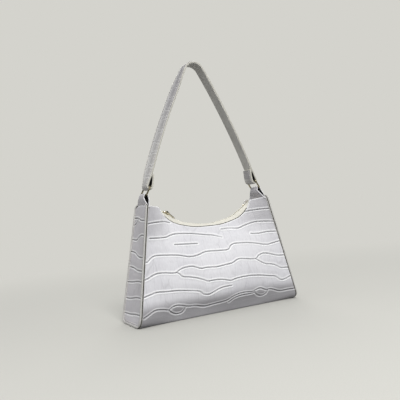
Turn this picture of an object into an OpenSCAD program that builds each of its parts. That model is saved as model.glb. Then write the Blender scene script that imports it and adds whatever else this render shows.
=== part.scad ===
// Small shoulder bag of embossed leather. Its front and back dip in a U between two raised horns.
// A zip closes the mouth along a shallow arc, and a ring at each horn carries a flat strap.
// X runs along the width, -Y is the front and Z is up. The origin is the middle of the base.

/* [Body] */
// Width of the base between the outer faces of the gussets
body_w = 250; // [220:5:300]
// Width between the shoulders, at the top of the horns
shoulder_w = 194; // [184:2:210]
// Height of the horns above the base
body_h = 152; // [140:2:170]
// How far the rim dips below the horns at the middle of the mouth
rim_drop = 33; // [28:1:40]
// Width of the mouth between the inner corners of the horns
mouth_w = 145; // [140:1:152]
// Depth of the bag near the base
base_d = 67; // [58:1:80]
// Depth of the bag at the shoulders
shoulder_d = 44; // [38:1:52]
// Depth over both panels along the mouth
mouth_d = 15; // [14:0.5:18]
// Radius along the front and back edges of the base
corner_r = 12; // [8:1:16]
// How far the middle of a panel swells past a straight line
belly = 4; // [0:0.5:8]
// How flat the floor of the U is, as an exponent
mouth_flatness = 3; // [2.5:0.1:3.5]
// How round the bends of the U are, as an exponent
mouth_roundness = 1.6; // [1.4:0.1:2]
// How late a panel leans in towards the mouth, as an exponent
lean_lateness = 1.6; // [1:0.1:2]

/* [Leather and lining] */
// Thickness of the leather panels
leather_t = 1.6; // [1.2:0.1:2]
// Thickness of the lining cloth
lining_t = 0.6; // [0.4:0.1:0.8]
// Air between two layers that are only sewn at their edges
layer_gap = 0.3; // [0.2:0.05:0.4]
// Width of the bound seam round each gusset, seen from the side
binding_w = 2.4; // [2:0.1:3]
// Thickness of the bound seam along the width of the bag
binding_t = 2.8; // [2.6:0.1:3.4]
// How far the bound seam stands out past the gusset
binding_proud = 0.5; // [0.3:0.1:0.8]
// Thickness of the stiff board in the base
board_t = 1.8; // [1.2:0.1:2.4]
// Width of the slip pocket
pocket_w = 110; // [80:5:130]
// Height of the slip pocket
pocket_h = 55; // [40:5:70]
// Height of the pocket's lower edge above the base
pocket_foot = 30; // [25:1:40]

/* [Zip] */
// Radius of the arc that the zip follows
ridge_r = 113; // [105:1:125]
// Height of the zip above the leather rim at the middle
ridge_rise = 3.5; // [3:0.5:5]
// Angle from the middle to the slider when the zip is shut
slider_turn = 33; // [30:0.5:34]
// Length of the tape that is tucked in behind the leather rim
tape_tuck = 6; // [5:0.5:9]
// Thickness of the tape
tape_t = 0.5; // [0.4:0.05:0.6]
// Distance from tooth to tooth
tooth_pitch = 2.6; // [2.4:0.1:3.2]
// Length of a tooth along the zip
tooth_l = 1.6; // [1.2:0.1:1.8]
// Thickness of a tooth
tooth_t = 1.6; // [1.4:0.1:1.8]
// Reach of a tooth from its tape towards the middle
tooth_reach = 1.1; // [0.9:0.1:1.3]
// Slot between the two rows of teeth
tooth_slot = 1.2; // [1.1:0.1:1.4]
// Length of the slider
slider_l = 9; // [7:0.5:10]
// Width of the slider
slider_w = 6.8; // [6.6:0.1:7.4]
// Thickness of the slider's upper plate and of its ears
slider_t = 1.2; // [1:0.1:1.4]
// Thickness of the slider's lower plate
keel_t = 0.8; // [0.7:0.1:1]
// Length of the pull tab past its pin
pull_l = 13; // [10:0.5:16]
// Width of the pull tab
pull_w = 4; // [3.4:0.2:4.4]
// Thickness of the pull tab
pull_t = 0.9; // [0.8:0.1:1.1]
// Radius of the pull tab's pin
pin_r = 0.6; // [0.5:0.05:0.7]

/* [Rings and tabs] */
// Height of a ring's lower bar above the shoulder
tab_rise = 16.5; // [16:0.5:20]
// Distance of the lower bar inwards from the shoulder
tab_inset = 6; // [4:0.5:8]
// Lean of each ring towards the middle of the bag
ring_lean = 30; // [15:1:35]
// Distance between the centres of a ring's two bars
ring_h = 13.5; // [13:0.5:16]
// Clear width inside a ring
ring_w = 20; // [19.6:0.2:24]
// Diameter of the ring's wire
wire_d = 2.2; // [2:0.1:2.6]
// Width of the leather tab that holds a ring
tab_w = 18; // [14:0.5:19]
// Thickness of one layer of the tab
tab_t = 1.7; // [1.4:0.1:2]
// Length of the tab that is sewn in behind the gusset
tab_tuck = 12; // [8:1:16]

/* [Strap] */
// Width of the strap
strap_w = 19; // [15:0.5:19]
// Thickness of each of the strap's two layers
strap_t = 1.5; // [1.2:0.1:1.6]
// Lean of the strap at its foot
foot_lean = 19; // [17:0.5:20]
// Lean of the strap where its top bend starts
head_lean = 29; // [28:0.5:31]
// Radius of the strap's top bend, between its layers
head_r = 16; // [12:1:20]
// Length of the end that is folded up round the ring
fold_l = 17; // [16:1:22]
// Length of the open loop in that fold
fold_loop = 13; // [11:1:14]

/* [Hidden] */

leather_color = [0.88, 0.87, 0.90];
edge_color = [0.55, 0.53, 0.54];
cloth_color = [0.90, 0.88, 0.82];
tape_color = [0.94, 0.93, 0.84];
gold_color = [0.86, 0.78, 0.55];
board_color = [0.72, 0.68, 0.60];

// Overrun of a cut past the face that it opens
over = 1;
// Clearance round a ring's lower bar inside the tab
loop_gap = 0.35;
// Clearance round a ring's upper bar inside the fold of the strap
fold_gap = 0.8;
// Clearance between the slider and what it runs on
run_gap = 0.3;
// Gap between the slider and a stop at each end of its travel
end_gap = 0.4;
// Overlap that joins the strap to its own fold
lap = 0.05;
// Radial clearance round the pull tab's pin
pin_gap = 0.06;
// Side clearance of the pull tab between its ears
ear_gap = 0.2;

half_base = body_w/2;
half_shoulder = shoulder_w/2;
half_mouth = mouth_w/2;
// Height of the rim at the middle of the mouth
dip_h = body_h - rim_drop;

// Lean of the gussets, and their height along that lean
slant = atan((half_base - half_shoulder)/body_h);
slant_h = body_h/cos(slant);
// Lift that keeps the leaning bound seam on the surface that the bag stands on
seam_lift = binding_t*tan(slant);
// Width that a bound seam takes at each end of a panel
seam_in = binding_t/cos(slant);
// Depth from a gusset's outer plane to the side lining
side_stack = binding_proud + leather_t + 2*tab_t + 3*layer_gap;
lining_in = (side_stack + lining_t)/cos(slant);

// Outline of the walls, front or back

// Height of the rim over a place along the mouth
function rim_z(x) = abs(x) >= half_mouth ? body_h
    : body_h - rim_drop*pow(1 - pow(abs(x)/half_mouth, mouth_flatness), 1/mouth_roundness);
// Distance of the rim from the middle plane
function rim_y(x) = abs(x) <= half_mouth ? mouth_d/2
    : mouth_d/2 + (shoulder_d - mouth_d)/2*(abs(x) - half_mouth)/(half_shoulder - half_mouth);
// Distance of a wall from the middle plane, at a share of its height above the rounded edge
function wall_y(x, f) = base_d/2
    + (rim_y(x) - base_d/2)*pow(f, 1 + (lean_lateness - 1)*(1 - pow(abs(x)/half_shoulder, 2)))
    + belly*(1 - pow(abs(x)/half_shoulder, 4))*sin(180*f);
// A point of a wall: x is its place at the rim, and inset its depth under the outer face.
// v runs from -1 to 0 round the edge of the base and from 0 to 1 up to the rim.
// edge is the place of the wall's own end at the rim, and drop its distance under the rim.
function wall_point(x, inset, v, drop, edge) =
    let (top = rim_z(x) - drop)
    let (z = v < 0 ? corner_r - (corner_r - inset)*cos(90*(v + 1))
        : corner_r + (top - corner_r)*v)
    let (y = v < 0 ? base_d/2 - corner_r + (corner_r - inset)*sin(90*(v + 1))
        : wall_y(x, v*(top - corner_r)/(rim_z(x) - corner_r)) - inset)
    [x*(1 + (half_base - half_shoulder)/edge*(1 - z/rim_z(x))), -y, z];

// Places of the wall's columns along the rim, closest together at the bends of the U
function rim_places(edge, mouth_steps, horn_steps) = concat(
    [for (i = [horn_steps:-1:1]) -half_mouth - (edge - half_mouth)*i/horn_steps],
    [for (i = [-mouth_steps:mouth_steps]) half_mouth*sin(90*i/mouth_steps)],
    [for (i = [1:horn_steps]) half_mouth + (edge - half_mouth)*i/horn_steps]);
function even_places(edge, steps) = [for (i = [0:steps]) edge*(2*i/steps - 1)];
// Places of the rows: round the base's edge, then up the wall
function wall_rows(arc_steps, rise_steps) = concat(
    [for (i = [0:arc_steps - 1]) i/arc_steps - 1],
    [for (i = [0:rise_steps]) i/rise_steps]);

// A thin wall between two insets, as one closed skin
module wall_shell(xs, vs, outer, inner, drop, edge)
    skin_shell([for (inset = [outer, inner]) for (x = xs) for (v = vs)
        wall_point(x, inset, v, drop, edge)], len(xs), len(vs));

// Closes two matching grids of points, the outer one first, into one skin
module skin_shell(points, nx, nv) {
    skin = nx*nv;
    function at(i, j) = i*nv + j;
    faces = concat(
        [for (i = [0:nx - 2]) for (j = [0:nv - 2]) [at(i, j), at(i, j + 1), at(i + 1, j + 1)]],
        [for (i = [0:nx - 2]) for (j = [0:nv - 2]) [at(i, j), at(i + 1, j + 1), at(i + 1, j)]],
        [for (i = [0:nx - 2]) for (j = [0:nv - 2])
            [skin + at(i, j), skin + at(i + 1, j + 1), skin + at(i, j + 1)]],
        [for (i = [0:nx - 2]) for (j = [0:nv - 2])
            [skin + at(i, j), skin + at(i + 1, j), skin + at(i + 1, j + 1)]],
        [for (i = [0:nx - 2]) for (j = [0, nv - 1])
            j == 0 ? [at(i, j), at(i + 1, j), skin + at(i, j)]
                : [at(i, j), skin + at(i, j), at(i + 1, j)]],
        [for (i = [0:nx - 2]) for (j = [0, nv - 1])
            j == 0 ? [at(i + 1, j), skin + at(i + 1, j), skin + at(i, j)]
                : [at(i + 1, j), skin + at(i, j), skin + at(i + 1, j)]],
        [for (j = [0:nv - 2]) for (i = [0, nx - 1])
            i == 0 ? [at(i, j), skin + at(i, j), at(i, j + 1)]
                : [at(i, j), at(i, j + 1), skin + at(i, j)]],
        [for (j = [0:nv - 2]) for (i = [0, nx - 1])
            i == 0 ? [at(i, j + 1), skin + at(i, j), skin + at(i, j + 1)]
                : [at(i, j + 1), skin + at(i, j + 1), skin + at(i, j)]]);
    polyhedron(points, faces, convexity = 6);
}

mouth_columns = 16;
horn_columns = 3;
edge_rows = 5;
wall_steps = 10;
panel_edge = half_shoulder - seam_in;

module leather_wall()
    wall_shell(rim_places(panel_edge, mouth_columns, horn_columns),
        wall_rows(edge_rows, wall_steps), 0, leather_t, 0, panel_edge);

module front_panel() color(leather_color)
    leather_wall();

module back_panel() color(leather_color)
    mirror([0, 1, 0])
    leather_wall();

flat_d = base_d - 2*corner_r;
base_l = body_w - 2*seam_in - 2*leather_t*tan(slant);

module base_panel() color(leather_color)
    translate([-base_l/2, -flat_d/2, 0])
    cube([base_l, flat_d, leather_t]);

// Gussets and their bound seams lie in a plane that leans in with the sides

// Puts a right-hand piece, drawn in its gusset's plane, in place on either side
module on_side(side)
    mirror([side < 0 ? 1 : 0, 0, 0])
    translate([half_base, 0, 0])
    rotate([0, -slant, 0])
    children();
// A flat plate in that plane, from one depth under it to another
module plate(depth, thick)
    translate([-depth - thick, 0, 0])
    rotate([90, 0, 90])
    linear_extrude(thick)
    children();

// Outline in a gusset's plane from its front shoulder round the base to its back shoulder
function side_outline(inset, top_inset, top, steps) =
    let (c = base_d/2 - corner_r)
    let (r = corner_r - inset)
    concat([[-shoulder_d/2 + top_inset, top]],
        [for (i = [0:steps]) [-c - r*cos(90*i/steps), seam_lift + corner_r - r*sin(90*i/steps)]],
        [for (i = [steps:-1:0]) [c + r*cos(90*i/steps), seam_lift + corner_r - r*sin(90*i/steps)]],
        [[shoulder_d/2 - top_inset, top]]);
function reversed(list) = [for (i = [len(list) - 1:-1:0]) list[i]];

outline_steps = 8;
// Height of the gusset's head over the shoulders, and its margin on each side of the tab
head_rise = 2.8;
head_margin = 1.5;
head_half = tab_w/2 + head_margin;

module gusset(side) color(leather_color)
    on_side(side)
    plate(binding_proud, leather_t)
    polygon(concat(side_outline(binding_w, binding_w, slant_h, outline_steps),
        [[head_half, slant_h + head_rise], [-head_half, slant_h + head_rise]]));

module edge_binding(side) color(edge_color)
    on_side(side)
    plate(0, binding_t)
    polygon(concat(side_outline(0, 0, slant_h, outline_steps),
        reversed(side_outline(binding_w, binding_w, slant_h, outline_steps))));

module left_gusset() gusset(-1);
module right_gusset() gusset(1);
module left_edge_binding() edge_binding(-1);
module right_edge_binding() edge_binding(1);

// Inside of the bag

board_z = leather_t + layer_gap;
lining_z = board_z + board_t + layer_gap;
lining_inset = leather_t + tape_t + 2*layer_gap;
base_lining_l = body_w - 2*lining_in - 2*(lining_z + lining_t)*tan(slant) - 2*layer_gap;
lining_edge = half_shoulder - lining_in - layer_gap;

module base_board() color(board_color)
    translate([-base_lining_l/2, -flat_d/2 + layer_gap, board_z])
    cube([base_lining_l, flat_d - 2*layer_gap, board_t]);

module lining_wall()
    wall_shell(rim_places(lining_edge, mouth_columns, horn_columns - 1),
        wall_rows(edge_rows - 2, wall_steps - 3), lining_inset, lining_inset + lining_t, lining_t,
        lining_edge);

module lining_front() color(cloth_color)
    lining_wall();

module lining_back() color(cloth_color)
    mirror([0, 1, 0])
    lining_wall();

module lining_base() color(cloth_color)
    translate([-base_lining_l/2, -flat_d/2 + layer_gap, lining_z])
    cube([base_lining_l, flat_d - 2*layer_gap, lining_t]);

// The walls close in behind the shoulders, and the side linings with them
wall_taper = (shoulder_d - mouth_d)/(shoulder_w - mouth_w);
side_inset = lining_inset + lining_t + layer_gap;

module side_lining(side) color(cloth_color)
    on_side(side)
    plate(side_stack, lining_t)
    polygon(side_outline(side_inset, side_inset + side_stack*wall_taper, slant_h - head_rise,
        outline_steps));

module lining_left() side_lining(-1);
module lining_right() side_lining(1);

pocket_inset = lining_inset + lining_t + layer_gap;
pocket_half = pocket_w/2*half_shoulder/half_base;
pocket_columns = 8;
pocket_rows = 5;
// A place up the wall, as v, at the middle of the mouth
function pocket_v(z) = (z - corner_r)/(dip_h - corner_r);

module inner_pocket() color(cloth_color)
    mirror([0, 1, 0])
    wall_shell(even_places(pocket_half, pocket_columns),
        [for (i = [0:pocket_rows]) pocket_v(pocket_foot + pocket_h*i/pocket_rows)],
        pocket_inset, pocket_inset + lining_t, 0, lining_edge);

// Zip: everything on it lies on arcs about one centre above the mouth

ridge_z = dip_h + ridge_rise;
zip_center = ridge_z + ridge_r;
// Angle that a length takes up on the ridge
function ridge_angle(length) = length/ridge_r*180/PI;

// A strip along the arc, whose outline is drawn as [radius, distance to the front]
module on_arc(from, to)
    translate([0, 0, zip_center])
    rotate([90, 0, 0])
    rotate([0, 0, 270 + from])
    rotate_extrude(angle = to - from, $fn = 240)
    children();
// Puts a piece, drawn at the origin with Z away from the centre, at an angle along the arc
module at_arc(angle, radius)
    translate([0, 0, zip_center])
    rotate([0, -angle, 0])
    translate([0, 0, -radius])
    children();

row_in = tooth_slot/2;
row_out = row_in + tooth_reach;

// Height of the arc over a place along the mouth
function arc_z(x) = zip_center - sqrt(pow(ridge_r, 2) - pow(x, 2));
// The tape hangs from the teeth, spreads to the rim and runs down behind the leather
tape_columns = 14;
tape_places = [for (i = [-tape_columns:tape_columns]) half_mouth*sin(90*i/mouth_columns)];
function tape_point(x, inset, row) =
    row == 0 ? [x, -row_out - leather_t - layer_gap - tape_t + inset, arc_z(x)]
    : row == 1 ? [x, -row_out - leather_t - layer_gap - tape_t + inset, arc_z(x) - tooth_t/2]
    : row == 2 ? wall_point(x, inset, 1, 0, lining_edge)
    : wall_point(x, inset, 1, tape_tuck, lining_edge);

module zip_tape(side) color(tape_color)
    mirror([0, side > 0 ? 1 : 0, 0])
    skin_shell([for (inset = [leather_t + layer_gap, leather_t + layer_gap + tape_t])
        for (x = tape_places) for (row = [0:3]) tape_point(x, inset, 3 - row)],
        len(tape_places), 4);

stop_turn = slider_turn + ridge_angle(slider_l/2 + end_gap);
stop_l = 2;
teeth_turn = stop_turn - ridge_angle(run_gap);
tooth_count = floor(2*teeth_turn/ridge_angle(tooth_pitch));

module zip_teeth(side) color(tape_color)
    for (i = [0:tooth_count - 1])
    at_arc((i + 0.5 + side/4 - tooth_count/2)*ridge_angle(tooth_pitch), ridge_r)
    translate([-tooth_l/2, side > 0 ? row_in : -row_out, -tooth_t/2])
    cube([tooth_l, tooth_reach, tooth_t]);

module zip_tape_front() zip_tape(-1);
module zip_tape_back() zip_tape(1);
module zip_teeth_front() zip_teeth(-1);
module zip_teeth_back() zip_teeth(1);

module stop_block(angle, low, high)
    at_arc(angle, ridge_r)
    translate([-stop_l/2, low, -tooth_t/2 - run_gap])
    cube([stop_l, high - low, tooth_t + 2*run_gap]);

// One clamp on each tape where the zip shuts, and one over both where it ends
module zip_stops() color(gold_color) {
    stop_at = stop_turn + ridge_angle(stop_l/2);
    stop_block(-stop_at, row_in, row_out);
    stop_block(-stop_at, -row_out, -row_in);
    stop_block(stop_at, -row_out, row_out);
}

// Radii of the faces of the slider's plates
upper_face = ridge_r - tooth_t/2 - run_gap;
lower_face = ridge_r + tooth_t/2 + run_gap;
slider_half = ridge_angle(slider_l)/2;
post_t = tooth_slot - 2*run_gap;
post_l = slider_l/3;
keel_w = 2*(row_out - run_gap);
eye_r = pin_r + pin_gap + pull_t/2;
pin_rise = eye_r + run_gap;
pin_at = upper_face - slider_t - pin_rise;
ear_r = pin_r + slider_t/2;
ear_t = (slider_w - pull_w - 2*ear_gap)/2;

// A plate of the slider between two radii, running back from its leading end
module slider_plate(inner, outer, length, width)
    on_arc(-slider_turn - slider_half, -slider_turn - slider_half + ridge_angle(length))
    translate([inner, -width/2])
    square([outer - inner, width]);

module ear(from)
    translate([0, from, 0]) {
        rotate([-90, 0, 0])
        cylinder(r = ear_r, h = ear_t, $fn = 40);
        translate([-ear_r, 0, -pin_rise - slider_t/2])
        cube([2*ear_r, ear_t, pin_rise + slider_t/2]);
    }

module zip_slider() color(gold_color) {
    slider_plate(upper_face - slider_t, upper_face, slider_l, slider_w);
    slider_plate(lower_face, lower_face + keel_t, slider_l, keel_w);
    slider_plate(upper_face - slider_t/2, lower_face + keel_t/2, post_l, post_t);
    at_arc(-slider_turn, pin_at) {
        ear(-slider_w/2);
        ear(slider_w/2 - ear_t);
        translate([0, -slider_w/2, 0])
        rotate([-90, 0, 0])
        cylinder(r = pin_r, h = slider_w, $fn = 40);
    }
}

// Dip of the pull tab towards the teeth where it lies
pull_dip = 3;

module zip_pull() color(gold_color)
    at_arc(-slider_turn, pin_at)
    rotate([0, pull_dip, 0])
    translate([0, -pull_w/2, 0])
    difference() {
        union() {
            rotate([-90, 0, 0])
            cylinder(r = eye_r, h = pull_w, $fn = 40);
            translate([0, 0, -pull_t/2])
            cube([pull_l - pull_w/2, pull_w, pull_t]);
            translate([pull_l - pull_w/2, pull_w/2, -pull_t/2])
            cylinder(r = pull_w/2, h = pull_t, $fn = 40);
        }
        translate([0, -over, 0])
        rotate([-90, 0, 0])
        cylinder(r = pin_r + pin_gap, h = pull_w + 2*over, $fn = 40);
        translate([pull_l - pull_w/2, pull_w/2, -pull_t/2 - over])
        cylinder(r = pull_w/4, h = pull_t + 2*over, $fn = 40);
    }

// Rings, tabs and strap: drawn for the right side as [x, z], then mirrored for the left

wire_r = wire_d/2;
low_bar = [half_shoulder - tab_inset, body_h + tab_rise];
top_bar = low_bar + ring_h*[-sin(ring_lean), cos(ring_lean)];

// Extrudes an outline drawn in the XZ plane to a width centred on the middle plane
module across(width)
    translate([0, width/2, 0])
    rotate([90, 0, 0])
    linear_extrude(width)
    children();

bend_r = wire_d;
bar_l = ring_w + wire_d - 2*bend_r;
leg_l = ring_h - 2*bend_r;

// A ring lies in the plane of its two bars, with four rounded corners
module ring(side) color(gold_color)
    mirror([side < 0 ? 1 : 0, 0, 0])
    translate([low_bar[0], 0, low_bar[1]])
    rotate([0, -ring_lean, 0])
    translate([0, 0, ring_h/2])
    for (end = [-1, 1]) {
        translate([0, bar_l/2, end*ring_h/2])
        rotate([90, 0, 0])
        cylinder(r = wire_r, h = bar_l, $fn = 40);
        translate([0, end*(ring_w + wire_d)/2, -leg_l/2])
        cylinder(r = wire_r, h = leg_l, $fn = 40);
        for (across_end = [-1, 1])
        translate([0, across_end*bar_l/2, end*leg_l/2])
        mirror([0, across_end < 0 ? 1 : 0, 0])
        mirror([0, 0, end < 0 ? 1 : 0])
        rotate([90, 0, 90])
        rotate_extrude(angle = 90, $fn = 40)
        translate([bend_r, 0])
        circle(r = wire_r, $fn = 40);
    }

module left_ring() ring(-1);
module right_ring() ring(1);

// A place in the gusset's plane as [x, z]: depth under it and height along its lean
function side_point(depth, s) =
    [half_base - depth*cos(slant) - s*sin(slant), s*cos(slant) - depth*sin(slant)];

tab_in = wire_r + loop_gap;
tab_depth = binding_proud + leather_t + layer_gap;
tab_root = side_point(tab_depth + tab_t, slant_h + head_rise);
tab_run = low_bar - tab_root;
tab_across = [tab_run[1], -tab_run[0]]/norm(tab_run);

module tab(side) color(leather_color)
    mirror([side < 0 ? 1 : 0, 0, 0])
    across(tab_w)
    difference() {
        union() {
            polygon([side_point(tab_depth, slant_h - tab_tuck),
                side_point(tab_depth, slant_h + head_rise),
                low_bar + (tab_in + tab_t)*tab_across, low_bar - (tab_in + tab_t)*tab_across,
                side_point(tab_depth + 2*tab_t, slant_h + head_rise),
                side_point(tab_depth + 2*tab_t, slant_h - tab_tuck)]);
            translate(low_bar)
            circle(r = tab_in + tab_t, $fn = 60);
        }
        polygon([tab_root, low_bar + tab_in*tab_across, low_bar - tab_in*tab_across]);
        translate(low_bar)
        circle(r = tab_in, $fn = 60);
    }

module left_tab() tab(-1);
module right_tab() tab(1);

// The strap's two layers meet on a line of two long arcs and a short one over the top
function outward(lean) = [cos(lean), sin(lean)];
fold_in = wire_r + fold_gap;
fold_mid = fold_in + strap_t;
strap_foot = top_bar + fold_mid*outward(foot_lean);
long_r = (strap_foot[0] - head_r*cos(head_lean))/(cos(foot_lean) - cos(head_lean));
long_center = strap_foot - long_r*outward(foot_lean);
head_center = long_center + (long_r - head_r)*outward(head_lean);
long_steps = 12;
head_steps = 24;

function strap_line(offset) = concat(
    [for (i = [0:long_steps - 1])
        long_center + (long_r + offset)*outward(foot_lean + (head_lean - foot_lean)*i/long_steps)],
    [for (i = [0:head_steps])
        head_center + (head_r + offset)*outward(head_lean + (180 - 2*head_lean)*i/head_steps)],
    [for (i = [long_steps - 1:-1:0])
        let (p = long_center
            + (long_r + offset)*outward(foot_lean + (head_lean - foot_lean)*i/long_steps))
        [-p[0], p[1]]]);

// One layer of the fold round a ring's bar: half a tube, and the flap that runs up inside
module fold_layer(near, far) {
    translate(top_bar)
    rotate(foot_lean)
    difference() {
        circle(r = fold_in + far, $fn = 60);
        circle(r = fold_in + near, $fn = 60);
        translate([-fold_in - far - over, lap])
        square([2*(fold_in + far + over), fold_in + far + over]);
    }
    translate(top_bar)
    rotate(foot_lean)
    polygon([[-fold_in - near, 0], [fold_in - layer_gap - near, fold_loop],
        [fold_in - layer_gap - near, fold_l], [fold_in - layer_gap - far, fold_l],
        [fold_in - layer_gap - far, fold_loop], [-fold_in - far, 0]]);
}

module strap_layer(low, high, near, far)
    across(strap_w) {
        polygon(concat(strap_line(high), reversed(strap_line(low))));
        fold_layer(near, far);
        mirror([1, 0])
        fold_layer(near, far);
    }

module strap_outer() color(leather_color)
    strap_layer(0, strap_t, strap_t, 2*strap_t);

module strap_lining() color(leather_color)
    strap_layer(-strap_t, 0, 0, strap_t);

front_panel();
back_panel();
base_panel();
left_gusset();
right_gusset();
left_edge_binding();
right_edge_binding();
base_board();
lining_front();
lining_back();
lining_base();
lining_left();
lining_right();
inner_pocket();
zip_tape_front();
zip_tape_back();
zip_teeth_front();
zip_teeth_back();
zip_stops();
zip_slider();
zip_pull();
left_tab();
right_tab();
left_ring();
right_ring();
strap_outer();
strap_lining();
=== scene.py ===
import math

import bpy
import numpy as np
from mathutils import Matrix, Vector


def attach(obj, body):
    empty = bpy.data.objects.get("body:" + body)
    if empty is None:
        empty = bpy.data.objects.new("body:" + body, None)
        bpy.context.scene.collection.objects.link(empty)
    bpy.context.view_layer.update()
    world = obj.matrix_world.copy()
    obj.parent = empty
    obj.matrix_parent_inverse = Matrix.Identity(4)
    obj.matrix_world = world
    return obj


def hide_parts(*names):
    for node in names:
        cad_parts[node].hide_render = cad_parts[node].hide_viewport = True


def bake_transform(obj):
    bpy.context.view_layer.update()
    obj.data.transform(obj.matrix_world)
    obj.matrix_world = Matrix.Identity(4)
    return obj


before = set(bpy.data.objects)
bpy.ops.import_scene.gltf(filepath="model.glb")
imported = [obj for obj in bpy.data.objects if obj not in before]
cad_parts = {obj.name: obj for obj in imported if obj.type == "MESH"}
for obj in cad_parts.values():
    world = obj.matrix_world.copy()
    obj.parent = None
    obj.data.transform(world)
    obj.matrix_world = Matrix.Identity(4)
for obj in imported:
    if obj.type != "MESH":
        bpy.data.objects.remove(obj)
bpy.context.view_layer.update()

# Sizes in millimetres: X along the bag's width, -Y to its front, Z up from its base
MM = 0.001
HALF_BASE = 125
HALF_SHOULDER = 97
BODY_H = 152
RIM_DROP = 33
RIM_LOW = BODY_H - RIM_DROP
HALF_MOUTH = 72.5
BASE_D = 67
SHOULDER_D = 44
MOUTH_D = 15
CORNER_R = 12
FLAT_D = BASE_D - 2*CORNER_R
LEATHER_T = 1.6
LINING_T = 0.6
LINING_INSET = 2.7
LAYER_GAP = 0.3
SLANT = math.atan((HALF_BASE - HALF_SHOULDER)/BODY_H)
SLANT_H = BODY_H/math.cos(SLANT)

# How the walls give: a belly, a tuck above the foot, and a mouth that dips between two horns
BELLY = 4
MOUTH_FLATNESS = 3
MOUTH_ROUNDNESS = 1.6
LEAN_LATENESS = 1.6
TUCK = 10
TUCK_TOP = 48
TUCK_SOFT = 5
RIM_LIFT = 1.0
RIM_LIFT_AT = 38
RIM_LIFT_HALF = 13
HORN_R = 4.5
HORN_X = 71.6
HORN_RISE = 2.4
HORN_BEND = 1.3

# The bound seams round the gussets
SEAM_T = 2.8
SEAM_W = 2.4
SEAM_LIFT = SEAM_T*math.tan(SLANT)
SEAM_PROUD = 0.5
PANEL_EDGE = HALF_SHOULDER - SEAM_T/math.cos(SLANT)

# The zip, on an arc about a centre above the mouth
RIDGE_R = 113
RIDGE_ABOVE_RIM = 3.5
ZIP_CENTER = RIM_LOW + RIDGE_ABOVE_RIM + RIDGE_R
SLIDER_TURN = math.radians(33)
STOP_BEYOND = 4.9
STOP_TURN = SLIDER_TURN + STOP_BEYOND/RIDGE_R
STOP_MIDDLE = STOP_TURN + 1/RIDGE_R
RIDGE_DIP = 1.0
RIDGE_DIP_AT = 42
RIDGE_DIP_HALF = 13

# The rings, tabs and strap
LOW_BAR = np.array([91.0, 168.5])
RING_LEAN = math.radians(30)
RING_H = 13.5
RING_W = 20
WIRE_R = 1.1
BEND_R = 2.2
TAB_W = 18
TAB_T = 1.7
STRAP_W = 19
STRAP_T = 1.5
FOOT_LEAN = math.radians(19)
HEAD_LEAN = math.radians(29)
HEAD_R = 16
FOLD_GAP = 0.8
FOLD_L = 17

# Rows of stitches: their pitch, length and radius
GUSSET_SEWING = (3.2, 2.3, 0.28)
TAB_SEWING = (2.6, 1.9, 0.26)
STRAP_SEWING = (3.4, 2.4, 0.26)
FOLD_SEWING = (2.8, 2.0, 0.26)

# The press: grooves between raised lips, of which the one above is lower, and low pillows
GROOVE_DEPTH = 0.95
GROOVE_HALF = 0.6
LIP_RISE = 0.42
LIP_AT = 1.75
LIP_HALF = 0.88
UPPER_LIP = 0.9
PILLOW_RISE = 0.4
PILLOW_REACH = 6
GROOVE_STEP = 2
FAR = 99

# Grooves pressed into the front and back leather, as [x, height up the leather]
GROOVES = [
    [(-98, 130), (-84, 131), (-69, 131), (-60, 129)],
    [(-97, 111), (-73, 110), (-64, 112), (-53, 113), (-29, 111), (-12, 108), (2, 106), (15, 102)],
    [(-61, 99), (-44, 98), (-26, 97)],
    [(-109, 82), (-105, 81), (-98, 86), (-89, 88), (-60, 85), (-43, 81), (-29, 82), (-16, 85),
     (6, 84), (19, 84), (25, 89), (34, 91), (58, 89), (82, 84), (95, 85), (108, 87)],
    [(-113, 59), (-106, 61), (-95, 65), (-84, 65), (-68, 63), (-61, 66), (-53, 68), (-41, 68),
     (-30, 64), (-19, 64), (-5, 63), (9, 64), (20, 65), (31, 69), (42, 68), (60, 66), (66, 70),
     (76, 72), (86, 70), (100, 66), (116, 65)],
    [(60, 66), (66, 62), (75, 57), (86, 55), (94, 52), (101, 48), (110, 47), (119, 47)],
    [(-68, 63), (-63, 62), (-58, 57), (-48, 55), (-37, 52), (-29, 49), (-22, 46), (-11, 46),
     (0, 45), (12, 42), (19, 43), (30, 44), (45, 44), (63, 42), (78, 39), (89, 37), (98, 31),
     (106, 31), (118, 35)],
    [(-117, 38), (-107, 40), (-97, 42), (-84, 41), (-68, 40), (-49, 37), (-36, 34), (-31, 30),
     (-23, 28), (-14, 31), (-5, 34), (4, 35), (13, 35)],
    [(-118, 13), (-109, 17), (-101, 20), (-90, 19), (-82, 17), (-77, 20), (-70, 21), (-61, 19),
     (-54, 17), (-43, 16), (-30, 13), (-16, 14), (-3, 15), (5, 16), (16, 20), (27, 22),
     (37, 22), (47, 21), (53, 23), (61, 24), (71, 20), (79, 20), (94, 15), (106, 15),
     (119, 15)],
    [(-82, 17), (-78, 13), (-71, 10), (-63, 11), (-58, 17)],
    [(50, 21), (56, 15), (63, 13), (70, 15), (74, 20)],
    [(8, 13), (16, 17), (27, 19), (38, 19), (48, 19), (52, 20)],
    [(53, 133), (64, 135), (79, 136), (97, 136)],
    [(18, 113), (31, 113), (45, 112), (57, 115), (71, 118), (84, 118), (104, 116)],
    [(62, 102), (73, 101), (89, 102), (107, 101)],
]

# Grooves across a gusset, as [y, height up its slope]
GUSSET_GROOVES = [
    [(23, 142), (6, 141), (-4, 138), (-24, 137)],
    [(25, 132), (15, 134), (6, 140)],
    [(26, 113), (10, 112), (2, 116), (-8, 118), (-26, 117)],
    [(30, 97), (12, 95), (2, 91), (-10, 89), (-28, 90)],
    [(32, 76), (14, 75), (-4, 72), (-30, 72)],
    [(33, 55), (12, 56), (-8, 58), (-32, 58)],
    [(33, 34), (16, 34), (-6, 37), (-32, 38)],
    [(33, 14), (12, 14), (-10, 16), (-33, 17)],
]

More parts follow.
